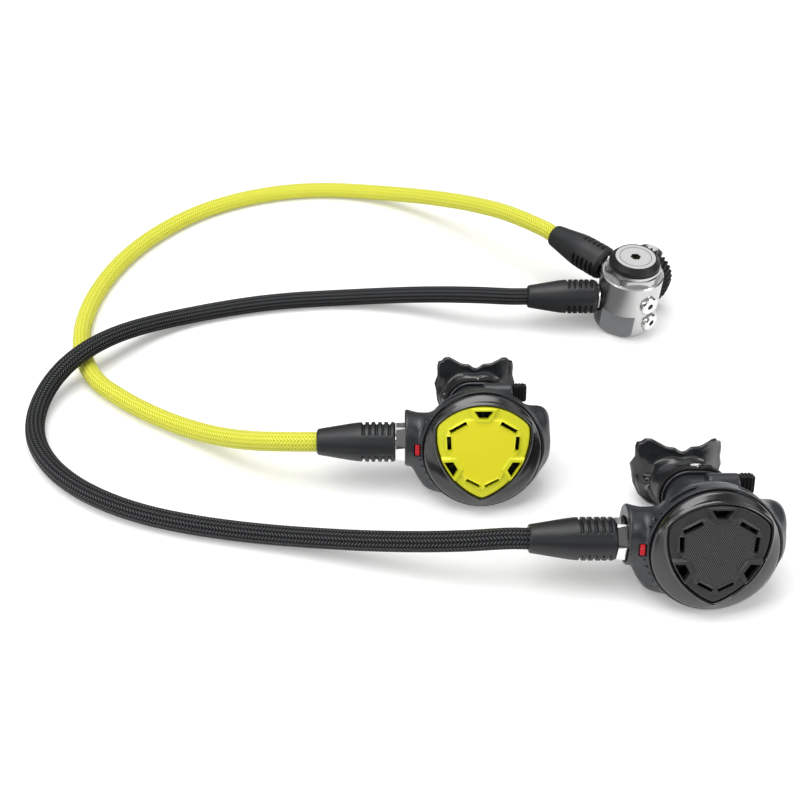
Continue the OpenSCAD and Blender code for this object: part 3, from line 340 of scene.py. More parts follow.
def braid(name, painted_groove_shade, over, painted_glint, roughness, sheen, specular):
    """Plaited cover: columns of slanting strands that lean left and right in turn, by the mesh's UVs, with
    painted shade in the grooves and a painted highlight on the strands' tops.
    """
    shader = Shader(name, over, roughness)
    uv = shader.node("UVMap", uv_map="plait")
    across, along = shader.axis(uv, 0), shader.axis(uv, 1)
    part = shader.math("FRACT", across)
    odd = shader.math("FRACT", shader.times(shader.math("FLOOR", across), 0.5))
    lean = shader.math("ABSOLUTE", shader.math("SUBTRACT", shader.times(odd, 2.0), part))
    phase = shader.math("ADD", along, shader.times(lean, PLAIT_LEAN))
    strand = shader.math("ABSOLUTE", shader.math("SINE", shader.times(phase, pi)))
    edge = shader.math("SINE", shader.times(part, pi))
    height = shader.times(shader.math("POWER", strand, 0.7), shader.math("POWER", edge, 0.22))
    fibre = shader.noise(5200, 2)
    # Painted shade: low parts between the strands take a darker copy of the strands' colour
    colour = shader.mix(shader.range(height, 0.25, 0.8), painted_groove_shade, over)
    # Painted highlight: the strands' highest parts, speckled by the fibre noise, turn towards a pale glint
    # colour
    colour = shader.mix(shader.times(shader.range(height, 0.82, 1.0), fibre), colour, painted_glint)
    shader.set("Base Color", colour)
    shader.set("Sheen Weight", sheen)
    shader.set("Sheen Roughness", 0.4)
    shader.set("Specular IOR Level", specular)
    shader.bump(shader.math("ADD", height, shader.times(fibre, 0.15)), 0.35, 0.8)
    return shader.material


def button_material(name, field, band, dotted):
    """The purge button: a middle field, dotted on the grey one, inside a plain band."""
    shader = Shader(name, band, 0.42)
    inside = shader.node("Attribute", out="Fac", attribute_name="field")
    cloud = shader.noise(120, 3)
    if dotted:
        point = shader.object_point()
        across = shader.times(shader.axis(point, 0), tau / (DOT_PITCH * MM))
        up = shader.times(shader.axis(point, 1), tau / (DOT_PITCH * sqrt(3) * MM))
        waves = shader.times(shader.math("COSINE", across), shader.math("COSINE", up))
        dots = shader.range(waves, 0.0, 0.6)
        middle = shader.mix(dots, *field)
        shader.bump(shader.times(dots, inside), 0.1, 0.8)
    else:
        middle = shader.mix(cloud, *field)
        shader.bump(shader.noise(2600, 2), 0.015, 0.5)
    border = shader.mix(cloud, band, tuple(c * 1.12 for c in band))
    shader.set("Base Color", shader.mix(inside, border, middle))
    shader.set("Roughness", shader.range(cloud, 0.3, 0.7, 0.36, 0.48))
    return shader.material


def make_materials():
    """Every material by its name."""
    made = {}

    def add(make, name, *values, **named):
        made[name] = make(name, *values, **named)

    add(plated, "satin_chrome", (0.59, 0.59, 0.585), 0.25, wear=0.04)
    add(plated, "bright_chrome", (0.87, 0.87, 0.865), 0.13, wear=0.03)
    add(moulded, "panel_grey", (0.205, 0.21, 0.22), 0.45, 0.006, 3000, 0.04, 0.3)
    add(moulded, "black_rubber", (0.0085, 0.0088, 0.0098), 0.46, 0.03, specular=0.32)
    add(moulded, "charcoal_rubber", (0.0140, 0.0150, 0.0168), 0.40, 0.02, specular=0.44)
    add(moulded, "silicone_black", (0.0085, 0.0095, 0.0112), 0.28, 0.015, 1800, specular=0.6, coat=0.3)
    # Each braid gets painted shade for its grooves, the strands' own colour and a painted highlight for their
    # tops
    add(braid, "braid_black", (0.002, 0.002, 0.0025), (0.0085, 0.0095, 0.011),
        (0.26, 0.27, 0.28), 0.5, 0.02, 0.18)
    add(braid, "braid_yellow", (0.46, 0.48, 0.012), (0.84, 0.83, 0.030), (0.97, 0.96, 0.40), 0.6, 0.22, 0.5)
    add(moulded, "black_gloss", (0.0075, 0.0078, 0.0088), 0.24, 0.005, 3200, 0.1, 0.68, 0.45)
    add(moulded, "black_matte", (0.0062, 0.0062, 0.0068), 0.48, 0.03, specular=0.34)
    add(moulded, "case_slate", (0.0215, 0.0240, 0.0285), 0.33, 0.018, specular=0.55)
    add(button_material, "button_grey", ((0.0085, 0.0085, 0.0095), (0.098, 0.10, 0.104)),
        (0.026, 0.0265, 0.028), True)
    add(button_material, "button_yellow", ((0.88, 0.80, 0.012), (0.93, 0.84, 0.02)),
        (0.74, 0.74, 0.02), False)
    add(moulded, "tab_red", (0.66, 0.012, 0.025), 0.3, 0.01)
    add(wire, "spring_steel", (0.55, 0.55, 0.56))
    add(plated, "steel", (0.62, 0.62, 0.63), 0.3, 0.01)
    add(plated, "brass", (0.75, 0.55, 0.24), 0.28, 0.01)
    add(plated, "bronze_filter", (0.60, 0.42, 0.2), 0.6)
    add(moulded, "valve_plastic", (0.30, 0.30, 0.31), 0.4)
    return made


# --- Mesh building ---

def add_mesh(name, points, faces, matrix, looks, slot, body, sharp, look=None):
    """A piece from points in millimetres in its own frame, which rides on a body."""
    mesh = bpy.data.meshes.new(name)
    mesh.from_pydata([Vector(p) * MM for p in points], [], faces)
    mesh.validate()
    mesh.update()
    piece = new_object(name, mesh)
    piece.matrix_world = matrix
    mesh.materials.append(looks[look or slot])
    for polygon in mesh.polygons:
        polygon.use_smooth = True
    mesh.set_sharp_from_angle(angle=radians(sharp))
    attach(piece, body)
    return piece


FILLET_STEPS = 5
SPAN_STEPS = 24           # points that a span of a route is first split into


def grid_faces(rows, sides, closed=False):
    """Quads between rows of points that go round; in a closed grid the last row joins the first."""
    faces = []
    for i in range(rows if closed else rows - 1):
        j = (i + 1) % rows
        for k in range(sides):
            m = (k + 1) % sides
            faces.append((i * sides + k, j * sides + k, j * sides + m, i * sides + m))
    return faces


def filleted(corners):
    """A polyline through (u, v, radius) corners with each corner rounded to its radius."""
    line = []
    for i, (u, v, radius) in enumerate(corners):
        here = Vector((u, v))
        if radius <= 0 or i in (0, len(corners) - 1):
            line.append(here)
            continue
        before = Vector(corners[i - 1][:2]) - here
        after = Vector(corners[i + 1][:2]) - here
        reach = min(radius, 0.49 * before.length, 0.49 * after.length)
        start = here + before.normalized() * reach
        end = here + after.normalized() * reach
        for k in range(FILLET_STEPS + 1):
            t = k / FILLET_STEPS
            line.append(start * (1 - t) ** 2 + here * 2 * t * (1 - t) + end * t ** 2)
    return line


def smooth_route(points, step):
    """Evenly spaced points of a Catmull-Rom curve through the given ones."""
    fine = []
    padded = [2 * points[0] - points[1], *points, 2 * points[-1] - points[-2]]
    for a, b, c, d in zip(padded, padded[1:], padded[2:], padded[3:]):
        for k in range(SPAN_STEPS):
            t = k / SPAN_STEPS
            fine.append(0.5 * (2 * b + (c - a) * t + (2 * a - 5 * b + 4 * c - d) * t ** 2
                               + (3 * b - a - 3 * c + d) * t ** 3))
    fine.append(points[-1])
    lengths = [0.0]
    for p, q in zip(fine, fine[1:]):
        lengths.append(lengths[-1] + (q - p).length)
    count = ceil(lengths[-1] / step)
    even, i = [], 0
    for k in range(count + 1):
        target = lengths[-1] * k / count
        while i < len(fine) - 2 and lengths[i + 1] < target:
            i += 1
        share = (target - lengths[i]) / (lengths[i + 1] - lengths[i])
        even.append(fine[i].lerp(fine[i + 1], share))
    return even


# --- Hoses ---

ROUTE_STEP = 0.65
HOSE_SIDES = PLAIT_COLUMNS * 6
STRAND_RELIEF = 0.16      # depth of the grooves between strands
PATH_EVERY = 4            # rings of the tube from one point of the returned path to the next
GROOVES = 5               # round a boot
GROOVE_START = 3.4
GROOVE_PITCH = 3.7
GROOVE_W = 1.7
GROOVE_DEPTH = 1.5
SMOOTH_HALF = radians(30)  # half the width of the smooth panels that interrupt the grooves
SMOOTH_FADE = radians(6)
BOOT_SIDES = 144


def hose_ends(stage):
    azimuth, height = PORTS[stage]
    first, last = END_STRAIGHTS[stage]
    start = [radial_matrix(azimuth, height, BOOT_START + BOOT_L + s) @ Vector() / MM for s in first]
    reach = NUT_START + BOOT_GAP + BOOT_L
    end = [inlet_matrix(stage, reach + s) @ Vector() / MM for s in last]
    return start, end


def make_hose(stage, looks):
    """The braided hose: a tube along its route whose strands stand out a little."""
    start, end = hose_ends(stage)
    route = smooth_route([*start, *(Vector(p) for p in LAY[stage]), *end], ROUTE_STEP)
    sides = HOSE_SIDES
    points, along = [], []
    side = (route[1] - route[0]).cross(Vector((0, 0, 1))).normalized()
    travelled = 0.0
    for i, centre in enumerate(route):
        ahead = route[min(i + 1, len(route) - 1)] - route[max(i - 1, 0)]
        ahead.normalize()
        side = (side - ahead * side.dot(ahead)).normalized()
        up = side.cross(ahead)
        if i:
            travelled += (centre - route[i - 1]).length
        for k in range(sides):
            across = PLAIT_COLUMNS * k / sides
            lean = across % 1 if int(across) % 2 else 1 - across % 1
            strand = abs(sin(pi * (travelled / PLAIT_PITCH + lean * PLAIT_LEAN)))
            edge = sin(pi * (across % 1))
            r = HOSE_D / 2 - STRAND_RELIEF * (1 - strand * edge ** 0.5)
            points.append(centre + r * (cos(tau * k / sides) * side + sin(tau * k / sides) * up))
        along.append(travelled / PLAIT_PITCH)
    n = len(route)
    faces = grid_faces(n, sides)
    faces.append(tuple(range(sides)))
    faces.append(tuple((n - 1) * sides + k for k in range(sides - 1, -1, -1)))
    slot = "braid_black" if stage == "primary" else "braid_yellow"
    hose = add_mesh(f"{stage}_hose_braid", points, faces, Matrix(), looks, slot, "first_stage", 60)
    lay_plait(hose.data, along)
    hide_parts(f"{stage}_hose")
    return hose, [p * MM for p in route[::PATH_EVERY] + [route[-1]]], travelled * MM


def lay_plait(mesh, along):
    """UVs that count the strands' columns round the hose and the strands along it."""
    layer = mesh.uv_layers.new(name="plait")
    last = HOSE_SIDES - 1
    for polygon in mesh.polygons:
        at_seam = len(polygon.vertices) == 4 and any(v % HOSE_SIDES == last for v in polygon.vertices)
        for loop, vertex in zip(polygon.loop_indices, polygon.vertices):
            k = vertex % HOSE_SIDES
            if k == 0 and at_seam:
                k = HOSE_SIDES
            layer.data[loop].uv = (PLAIT_COLUMNS * k / HOSE_SIDES, along[vertex // HOSE_SIDES])


def boot_profile(collar):
    """(radius, z, groove's share) along a boot, wide end first; a collar reaches back over a fitting."""
    plain = [(7.7, 0, 0), (10.6, 0, 0)]
    collared = [(8.5, 0.6, 0), (8.5, -1.7, 0.3), (10.1, -1.7, 0.6)]
    cone = [(11.5, 1.1, 1.2), (11.5, 20.5, 6), (7.6, 44.2, 0.8), (7.0, BOOT_L, 0.8), (5.6, BOOT_L, 0)]
    outer = filleted((collared if collar else plain) + cone)
    dense = []
    for p, q in zip(outer, outer[1:]):
        n = max(1, ceil((q - p).length / 0.3))
        dense += [p.lerp(q, k / n) for k in range(n)]
    dense.append(outer[-1])
    result = []
    for r, z in dense:
        cut = 0.0
        for i in range(GROOVES):
            x = (z - GROOVE_START - i * GROOVE_PITCH) / (GROOVE_W / 2)
            if abs(x) < 1:
                cut = max(cut, sqrt(1 - x * x) ** 0.7)
        result.append((r, z, cut))
    return result


def make_boot(name, matrix, facing, node, looks, collar=False):
    """A rubber hose protector: rounded ribs that a smooth panel interrupts on two sides."""
    profile, sides = boot_profile(collar), BOOT_SIDES
    toward = matrix.to_3x3().inverted() @ Vector(facing)
    centre = atan2(toward.y, toward.x)
    points = []
    for r, z, cut in profile:
        for k in range(sides):
            angle = tau * k / sides
            off = min(abs((angle - centre - turn + pi) % tau - pi) for turn in (0, pi))
            share = min(1.0, max(0.0, (off - SMOOTH_HALF) / SMOOTH_FADE))
            at = r - GROOVE_DEPTH * cut * share * share * (3 - 2 * share)
            points.append((at * cos(angle), at * sin(angle), z))
    n = len(profile)
    faces = [(a, d, c, b) for a, b, c, d in grid_faces(n, sides)]
    faces.append(tuple(range(sides - 1, -1, -1)))
    faces.append(tuple((n - 1) * sides + k for k in range(sides)))
    piece = add_mesh(name, points, faces, matrix, looks, "charcoal_rubber", "first_stage", 60)
    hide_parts(node)
    return piece


def make_hoses(looks):
    for stage in FACES:
        azimuth, height = PORTS[stage]
        hose, path, length = make_hose(stage, looks)
        near = make_boot(f"{stage}_boot_at_first_stage", radial_matrix(azimuth, height, BOOT_START),
                         (0.1, -0.8, 0.6), f"{stage}_first_stage_boot", looks, True)
        far = make_boot(f"{stage}_boot_at_second_stage", inlet_matrix(stage, NUT_START + BOOT_GAP),
                        (0, -0.82, 0.57), f"{stage}_second_stage_boot", looks)


# --- Solids from distance fields ---
# A solid is a function of x, y and z in millimetres that is negative inside it.

def smooth_min(a, b, k):
    """Joins two solids with a fillet about k wide."""
    h = np.clip(0.5 + 0.5 * (b - a) / k, 0, 1)
    return b + (a - b) * h - k * h * (1 - h)


def smooth_max(a, b, k):
    """What two solids share, with an edge rounded over about k."""
    return -smooth_min(-a, -b, k)


def slot_field(u, v, half_span, radius):
    """A slot outline with round ends along u."""
    return np.hypot(np.maximum(np.abs(u) - half_span, 0), v) - radius


def rod_field(u, v, along, start, end, radius, edge=0.3):
    """A round bar between start and end with its edges rounded."""
    across = np.hypot(u, v) - radius + edge
    lengthwise = np.abs(along - (start + end) / 2) - (end - start) / 2 + edge
    outside = np.hypot(np.maximum(across, 0), np.maximum(lengthwise, 0))
    return outside + np.minimum(np.maximum(across, lengthwise), 0) - edge


def box_field(x, y, z, half, edge=0.3):
    """A box about the origin with its edges rounded."""
    a, b, c = (np.abs(value) - size + edge for value, size in zip((x, y, z), half))
    outside = np.sqrt(np.maximum(a, 0) ** 2 + np.maximum(b, 0) ** 2 + np.maximum(c, 0) ** 2)
    return outside + np.minimum(np.maximum(np.maximum(a, b), c), 0) - edge


def polygon_field(x, y, corners):
    """The signed distance to a closed outline in the x-y plane."""
    nearest = np.full(np.broadcast(x, y).shape, 1e9)
    inside = np.zeros(nearest.shape, dtype=bool)
    for (ax, ay), (bx, by) in zip(corners, corners[1:] + corners[:1]):
        ex, ey = bx - ax, by - ay
        t = np.clip(((x - ax) * ex + (y - ay) * ey) / (ex * ex + ey * ey), 0, 1)
        nearest = np.minimum(nearest, np.hypot(x - ax - t * ex, y - ay - t * ey))
        if ey:
            crosses = (ay > y) != (by > y)
            inside ^= crosses & (x < ax + (y - ay) * ex / ey)
    return np.where(inside, -nearest, nearest)


def carve(solid, low, high, step):
    """Points and faces of a solid's surface, from its field on a grid."""
    axes = [np.arange(a, b + step, step) for a, b in zip(low, high)]
    x, y, z = np.meshgrid(*axes, indexing="ij", sparse=True)
    values = np.broadcast_to(solid(x, y, z), [len(axis) for axis in axes])
    grid = openvdb.FloatGrid(3 * step)
    grid.copyFromArray(np.ascontiguousarray(np.clip(values, -3 * step, 3 * step), dtype=np.float32))
    points, quads = grid.convertToQuads(0.0)
    points = points * step + np.array(low)
    a, b, c = (points[quads[:, i]] for i in (0, 1, 2))
    if np.einsum("ij,ij->i", a, np.cross(b, c)).sum() < 0:
        quads = quads[:, ::-1]
    return points, quads


def carved_piece(name, surface, matrix, looks, slot, body):
    """A carved surface as a piece whose own axes are the frame's, so that its box fits closely."""
    points, quads = surface
    points = points @ np.array(matrix.to_3x3()).T
    place = Matrix.Translation(matrix.translation)
    return add_mesh(name, points.tolist(), quads.tolist(), place, looks, slot, body, 180)


# --- Second stage: cover ring and purge button ---

COVER_R = 33              # outside radius of the cover ring
RING_SIDES = 240
ARC_TOP = (0, -6.9, 34.2)  # the button's outline: three circles that cut each other
ARC_SIDE = (15.4, 11, 41.3)
CORNER_POWER = 60         # the higher, the sharper the outline's corners
BUTTON_BACK = -1.8
BAND_TOP = 0.4            # heights of the button's plain band, its field and its frames
FIELD_TOP = 1.3
FRAME_TOP = 2.1
BEVEL = 1.3               # width of the sloping edges of field and frames
RIM_W = 0.8               # width and height of the raised rim round a slot
RIM_RISE = 0.35
EDGE_W = 0.7              # width and drop of the button's rounded edge
EDGE_DROP = 0.5
MESH_STEP = 0.6           # distance between the points of the button's face


def shield_radius(angle, extra):
    """Distance from the face's axis to the button's outline, with its three corners rounded a little."""
    reach = []
    for cx, cy, r in (ARC_TOP, ARC_SIDE, (-ARC_SIDE[0], *ARC_SIDE[1:])):
        along = cx * cos(angle) + cy * sin(angle)
        reach.append(along + sqrt(along * along - cx * cx - cy * cy + r * r))
    nearest = min(reach)
    rounded = nearest * sum((r / nearest) ** -CORNER_POWER for r in reach) ** (-1 / CORNER_POWER)
    return rounded + extra + 0.15


def cover_ring_profile():
    """(share of the circle, offset from the button's outline, z), from the opening outwards and back."""
    ridge = [(0, 0.1, -5), (0, 0.1, -0.1), (0, 0.25, 0.5), (0, 0.55, 0.85), (0, 0.95, 0.9), (0, 1.35, 0.65),
             (0, 1.65, 0.15), (0, 1.9, -0.15)]
    slope = [(t, 2.2 * (1 - t), -0.3 - 2.9 * t ** 1.7) for t in (0.12, 0.25, 0.4, 0.55, 0.7, 0.8, 0.88)]
    shoulder = [(0.94, 0, -3.2), (0.975, 0, -3.55), (0.993, 0, -4.0), (1, 0, -4.6)]
    skirt = [(1, 0, -5.6), (1, -0.3, -5.9), (1, -1.7, -6.0), (1, -1.7, -10.95)]
    inside = [(1, -2.9, -10.95), (1, -2.9, -6.8), (1, -3.2, -6.6)]
    return ridge + slope + shoulder + skirt + inside


def cover_ring_mesh():
    profile, sides = cover_ring_profile(), RING_SIDES
    points = []
    for share, offset, z in profile:
        for k in range(sides):
            angle = tau * k / sides
            outline = shield_radius(angle, offset)
            r = outline + (COVER_R + min(offset, 0) - outline) * share
            points.append((r * cos(angle), r * sin(angle), z))
    return points, grid_faces(len(profile), sides, True)


def spring_hub(x, y, z):
    """The hub inside the cover ring that carries the purge spring, on three spokes."""
    rho = np.hypot(x, y)
    flat = np.maximum(rho - 12, 8.3 - rho)
    for angle in (90, 210, 330):
        c, s = cos(radians(angle)), sin(radians(angle))
        flat = np.minimum(flat, np.maximum(np.abs(y * c - x * s) - 1.5, np.abs(x * c + y * s - 19.2) - 8.6))
    return np.maximum(flat, np.abs(z + 5.5) - 0.5)


def turned(points, angle, centre):
    """Points turned about the origin, then moved to a centre."""
    c, s = cos(radians(angle)), sin(radians(angle))
    return [Vector((centre[0] + u * c - v * s, centre[1] + u * s + v * c)) for u, v in points]


def mirrored(half):
    """A closed outline from its right half, which starts and ends on the axis."""
    return [Vector(p) for p in half] + [Vector((-u, v)) for u, v in reversed(half[1:-1])]


def button_shapes():
    """The outlines on the button: its edge, the field, the three frames with their vents, and six slots."""
    edge = [Vector((cos(a), sin(a))) * shield_radius(a, -0.4) for a in (tau * k / 180 for k in range(180))]
    field = mirrored([(0, 20.6), (9.6, 20.4), (18.2, 15.6), (20.7, 11.8), (21.2, 1.6), (18.4, -2.6),
                      (10.8, -15.6), (9.0, -17.6), (0.6, -22.2), (0, -22.3)])
    top = trapezium(8.8, 4.6, 4.1, -5.2), trapezium(5.7, 2.3, 2.4, -2.5)
    low = trapezium(9.4, 4.0, 4.6, -5.8), trapezium(5.5, 2.3, 2.9, -2.5)
    places = [(top, 0, (0, 22.7)), (low, 121, (-17.2, -8.4)), (low, -121, (17.2, -8.4))]
    frames, vents = ([turned(pair[i], *place) for pair, *place in places] for i in (0, 1))
    slots = []
    for side in (-1, 1):
        for (u, v), angle, length, width in (((14, 15.2), -30, 10.6, 2.5), ((18.9, 5.9), 87, 8.6, 2.4),
                                             ((5.3, -17.6), 28, 8.8, 1.9)):
            half, tall = length / 2, width / 2
            box = [(-half, -tall), (half, -tall), (half, tall), (-half, tall)]
            slots.append(turned(box, side * angle, (side * u, v)))
    return edge, field, frames, vents, slots


def trapezium(upper_half, upper, lower_half, lower):
    return [(-upper_half, upper), (-lower_half, lower), (lower_half, lower), (upper_half, upper)]


def inset(outline, distance):
    """The outline moved inwards, with mitred corners."""
    turn = sum(a.x * b.y - a.y * b.x for a, b in zip(outline, outline[1:] + outline[:1]))
    sign = 1 if turn > 0 else -1
    moved = []
    for before, here, after in zip(outline[-1:] + outline[:-1], outline, outline[1:] + outline[:1]):
        first, second = (here - before).normalized(), (after - here).normalized()
        normal = Vector((-first.y, first.x)) * sign
        middle = normal + Vector((-second.y, second.x)) * sign
        moved.append(here + middle * (distance / max(0.4, middle.dot(normal))))
    return moved


def button_height(x, y, shapes):
    """Height of the button's face: band, stepped field and raised frames with bevelled edges."""
    edge, field, frames, _, slots = shapes
    rise = np.clip(-polygon_field(x, y, field) / BEVEL, 0, 1)
    height = BAND_TOP - 0.02 * np.maximum(np.hypot(x, y) - 20, 0) + (FIELD_TOP - BAND_TOP) * rise
    field_share = rise
    for frame_outline in frames:
        up = np.clip(-polygon_field(x, y, frame_outline) / BEVEL, 0, 1)
        height = np.maximum(height, BAND_TOP + (FRAME_TOP - BAND_TOP) * up)
        field_share = field_share * (1 - np.clip(up * 3, 0, 1))
    for slot_outline in slots:
        near = np.clip((RIM_W - polygon_field(x, y, slot_outline)) / (0.5 * RIM_W), 0, 1)
        height = height + RIM_RISE * near
        field_share = field_share * (1 - near)
    near = polygon_field(x, y, edge)
    return height - EDGE_DROP * np.clip(1 + near / EDGE_W, 0, 1) ** 2, field_share


def inner_places(outlines, edge):
    """Points in even rows inside the edge, away from the outlines' own."""
    rows = np.arange(-28, 28, MESH_STEP * 0.87)
    columns = np.arange(-30, 30, MESH_STEP)
    grid = np.array([(x + (i % 2) * MESH_STEP / 2, y) for i, y in enumerate(rows) for x in columns])
    away = np.array([np.hypot(*(outlines - p).T).min() for p in grid]) > 0.45 * MESH_STEP
    grid = grid[away & (polygon_field(grid[:, 0], grid[:, 1], edge) < 0)]
    return [Vector(p) for p in grid]


def button_mesh():
    """The button's face as triangles that follow every outline, with walls down its edge, slots and vents."""
    shapes = button_shapes()
    edge, field, frames, vents, slots = shapes
    holes = vents + slots
    lines = [edge, inset(edge, EDGE_W / 2), inset(edge, EDGE_W), field, inset(field, BEVEL)]
    for outline in frames:
        lines += [outline, inset(outline, BEVEL)]
    for outline in slots:
        lines += [inset(outline, -RIM_W), inset(outline, -0.5 * RIM_W)]
    places, borders = [], []
    for outline in lines + holes:
        dense = []
        for a, b in zip(outline, outline[1:] + outline[:1]):
            n = max(1, round((b - a).length / MESH_STEP))
            dense += [a.lerp(b, k / n) for k in range(n)]
        first = len(places)
        places += dense
        borders += [(first + k, first + (k + 1) % len(dense)) for k in range(len(dense))]
    places += inner_places(np.array([tuple(p) for p in places]), edge)
    found, _, triangles, *_ = delaunay_2d_cdt(places, borders, [], 0, 1e-4)
    flat = np.array([tuple(p) for p in found])
    triangles = np.array([t for t in triangles if len(t) == 3])
    middle = flat[triangles].mean(axis=1)
    keep = polygon_field(middle[:, 0], middle[:, 1], edge) < 0
    for hole in holes:
        keep &= polygon_field(middle[:, 0], middle[:, 1], hole) > 0
    triangles = triangles[keep]
    heights, shares = button_height(flat[:, 0], flat[:, 1], shapes)
    points = [(u, v, h) for (u, v), h in zip(flat.tolist(), heights.tolist())]
    faces = [tuple(t) for t in triangles.tolist()]
    sides = {}
    for t in faces:
        for a, b in zip(t, t[1:] + t[:1]):
            sides[(a, b)] = True
    open_sides = [(a, b) for a, b in sides if (b, a) not in sides]
    lower = {}
    for a in sorted({v for pair in open_sides for v in pair}):
        lower[a] = len(points)
        points.append((*points[a][:2], BUTTON_BACK))
    faces += [(b, a, lower[a], lower[b]) for a, b in open_sides]
    shares = shares.tolist() + [0.0] * len(lower)
    return points, faces, shares


def make_faces(looks):
    """Both stages' cover rings and purge buttons."""
    ring_points, ring_faces = cover_ring_mesh()
    button_points, button_faces, shares = button_mesh()
    hub = carve(spring_hub, (-29, -29, -7), (29, 29, -4), 0.4)
    for stage in FACES:
        body = f"{stage}_second_stage"
        matrix = stage_matrix(stage)
        ring = add_mesh(f"{stage}_bezel", ring_points, ring_faces, matrix, looks, "black_gloss", body, 35)
        carved_piece(f"{stage}_spring_hub", hub, matrix, looks, "black_matte", body)
        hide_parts(f"{stage}_cover_ring")
        slot = "button_grey" if stage == "primary" else "button_yellow"
        button = add_mesh(f"{stage}_button_face", button_points, button_faces, matrix, looks, slot,
                          f"{stage}_purge", 30)
        layer = button.data.attributes.new("field", "FLOAT", "POINT")
        layer.data.foreach_set("value", shares)
        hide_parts(f"{stage}_purge_button")


# --- Second stage: case, mouthpiece and small parts ---

TUBE_V = 14               # the outlet tube's axis above the face's axis
TUBE_END = 50             # and its depth
TUBE_HALF = 4             # half the straight part of the tube's slot-shaped section
CLAMP_BACK = 3.5          # the clamp's middle from the tube's end
PIVOT = (24, -34.5)       # height and depth of the venturi lever's axis
BOWL_R = 34.3
COLLAR_R = 33.15          # inside of the collar round the cover ring
SEAT_R = 30.6             # outside of the seat inside it
EXHAUST_V = -12           # height of the exhaust port's axis
FLOOR_GAP = 0.35          # between a case and the floor that it rests on
TAB = (-36.3, -0.7, -8.0)  # middle of the red lock tab


def case_solid(x, y, z):
    """Bowl with its front sleeve, side bosses, lower flanks and outlet tube, blended into each other."""
    rho = np.hypot(x, y)
    depth = np.maximum(-12.6 - z, 0)
    bowl = smooth_max(rho - (BOWL_R - 0.2 * depth - 0.017 * depth ** 2), -31 - z, 5)
    bowl = smooth_max(bowl, z + 4.9, 0.9)
    flare = 11.8 + 1.7 * np.clip((-34 - x) / 8, 0, 1) ** 1.6
    left = smooth_max(slot_field(y - 2.7, z + INLET_DEPTH, 2.7, flare), -43.5 - x, 1.2)
    left = smooth_max(left, x + 8, 2)
    right = smooth_max(slot_field(y - 4.6, z + 19.5, 4.8, 12), x - 38.8, 8)
    right = smooth_max(right, 8 - x, 2)
    reach = 31 + 3.2 * np.clip(-x / 20, 0, 1)
    lower = smooth_max(smooth_max(rho - reach, -22.7 - y, 5), y - 1, 8)
    flanks = np.hypot(np.maximum(lower, 0), z + 18) - 7.5
    tube = smooth_max(slot_field(x, y - TUBE_V, TUBE_HALF, 12.5), np.abs(z + 34) - 16, 1)
    root = slot_field(x, y - TUBE_V + 5, 6.5, 17.5) + 0.42 * np.abs(z + 17)
    root = smooth_max(root, z + 11.6, 1.5)
    pivot = rod_field(y - PIVOT[0] - 1.2, z - PIVOT[1], x, 2, 19.2, 5.4, 1.2)
    body = smooth_min(bowl, left, 5)
    body = smooth_min(body, right, 6)
    body = smooth_min(body, flanks, 5)
    body = smooth_min(body, smooth_min(tube, smooth_max(root, -38 - z, 3), 9), 5)
    body = smooth_min(body, pivot, 2)
    tilt = radians(TILT)
    body = smooth_max(body, FLOOR_GAP - FACES["primary"][2] - y * cos(tilt) - z * sin(tilt), 2.5)
    return case_openings(np.minimum(body, rod_field(x, y, z, -16, -7.6, SEAT_R)), x, y, z)


def case_openings(body, x, y, z):
    """Cuts what the case is open for."""
    rho = np.hypot(x, y)
    chamber_r = np.interp(z, (-28.8, -18), (19, 28.4))
    inlet = z + INLET_DEPTH
    exhaust = y - EXHAUST_V
    cuts = [
        np.maximum(np.maximum(rho - COLLAR_R, SEAT_R - rho), -11.35 - z),
        np.maximum(rho - COLLAR_R, -5.4 - z),
        smooth_max(rho - chamber_r, -28.8 - z, 1),
        smooth_max(slot_field(x, y - TUBE_V, TUBE_HALF, 10.3), z + 20, 1),
        rod_field(y, inlet, x, -46, -40, 12.2, 0.2),
        rod_field(y, inlet, x, -42, -30, 7.3),
        rod_field(y, inlet, x, -32, 36, 6.2),
        rod_field(y - PIVOT[0], z - PIVOT[1], x, -8, 22, 1.75, 0.1),
        rod_field(x, exhaust, z, -40, -31, 9.9, 0.3),
        rod_field(x, exhaust, z, -33, -28, 7.5),
        box_field(x - TAB[0], y - TAB[1], z - TAB[2] - 3, (1.75, 3.45, 5.8), 0.3)]
    angle = np.arctan2(y, x)
    for middle in (59, 121):
        along = (angle - radians(middle)) * 33
        cuts.append(np.maximum(slot_field(along, z + 10.1, 5.6, 1.9), 31.6 - rho))
    for k in range(11):
        along = (np.mod(angle, tau) - radians(146 + 7.4 * k)) * 34
        notch = box_field(along, rho - BOWL_R, z + 8.3, (0.5, 1.2, 1.2), 0.2)
        cuts.append(np.maximum(notch, 33.3 - rho))
    for cut in cuts:
        body = smooth_max(body, -cut, 0.4)
    return body


# Right half of the shield's outline about the tube's axis, from the notch down
SHIELD_HALF = [
    (0, 17.6), (2, 18.2), (4.5, 20), (9, 20.3), (13, 22.2), (16, 23.6), (18.6, 23.3), (20.6, 21.2),
    (22.3, 20.6), (22.9, 18), (22.7, 12), (24.4, 6.5), (23.4, 2), (22.7, -4), (20.5, -9.5), (16, -13.5),
    (10, -15.5), (5, -15.8), (0, -15.4)]
SHEET_T = 2.2             # thickness of the shield
# Depth, bend radius, stretch along the lips and lean to the left
SHIELDS = {"primary": (63.5, 38, 1.06, 2.6), "octopus": (62, 50, 1.0, 0.0)}


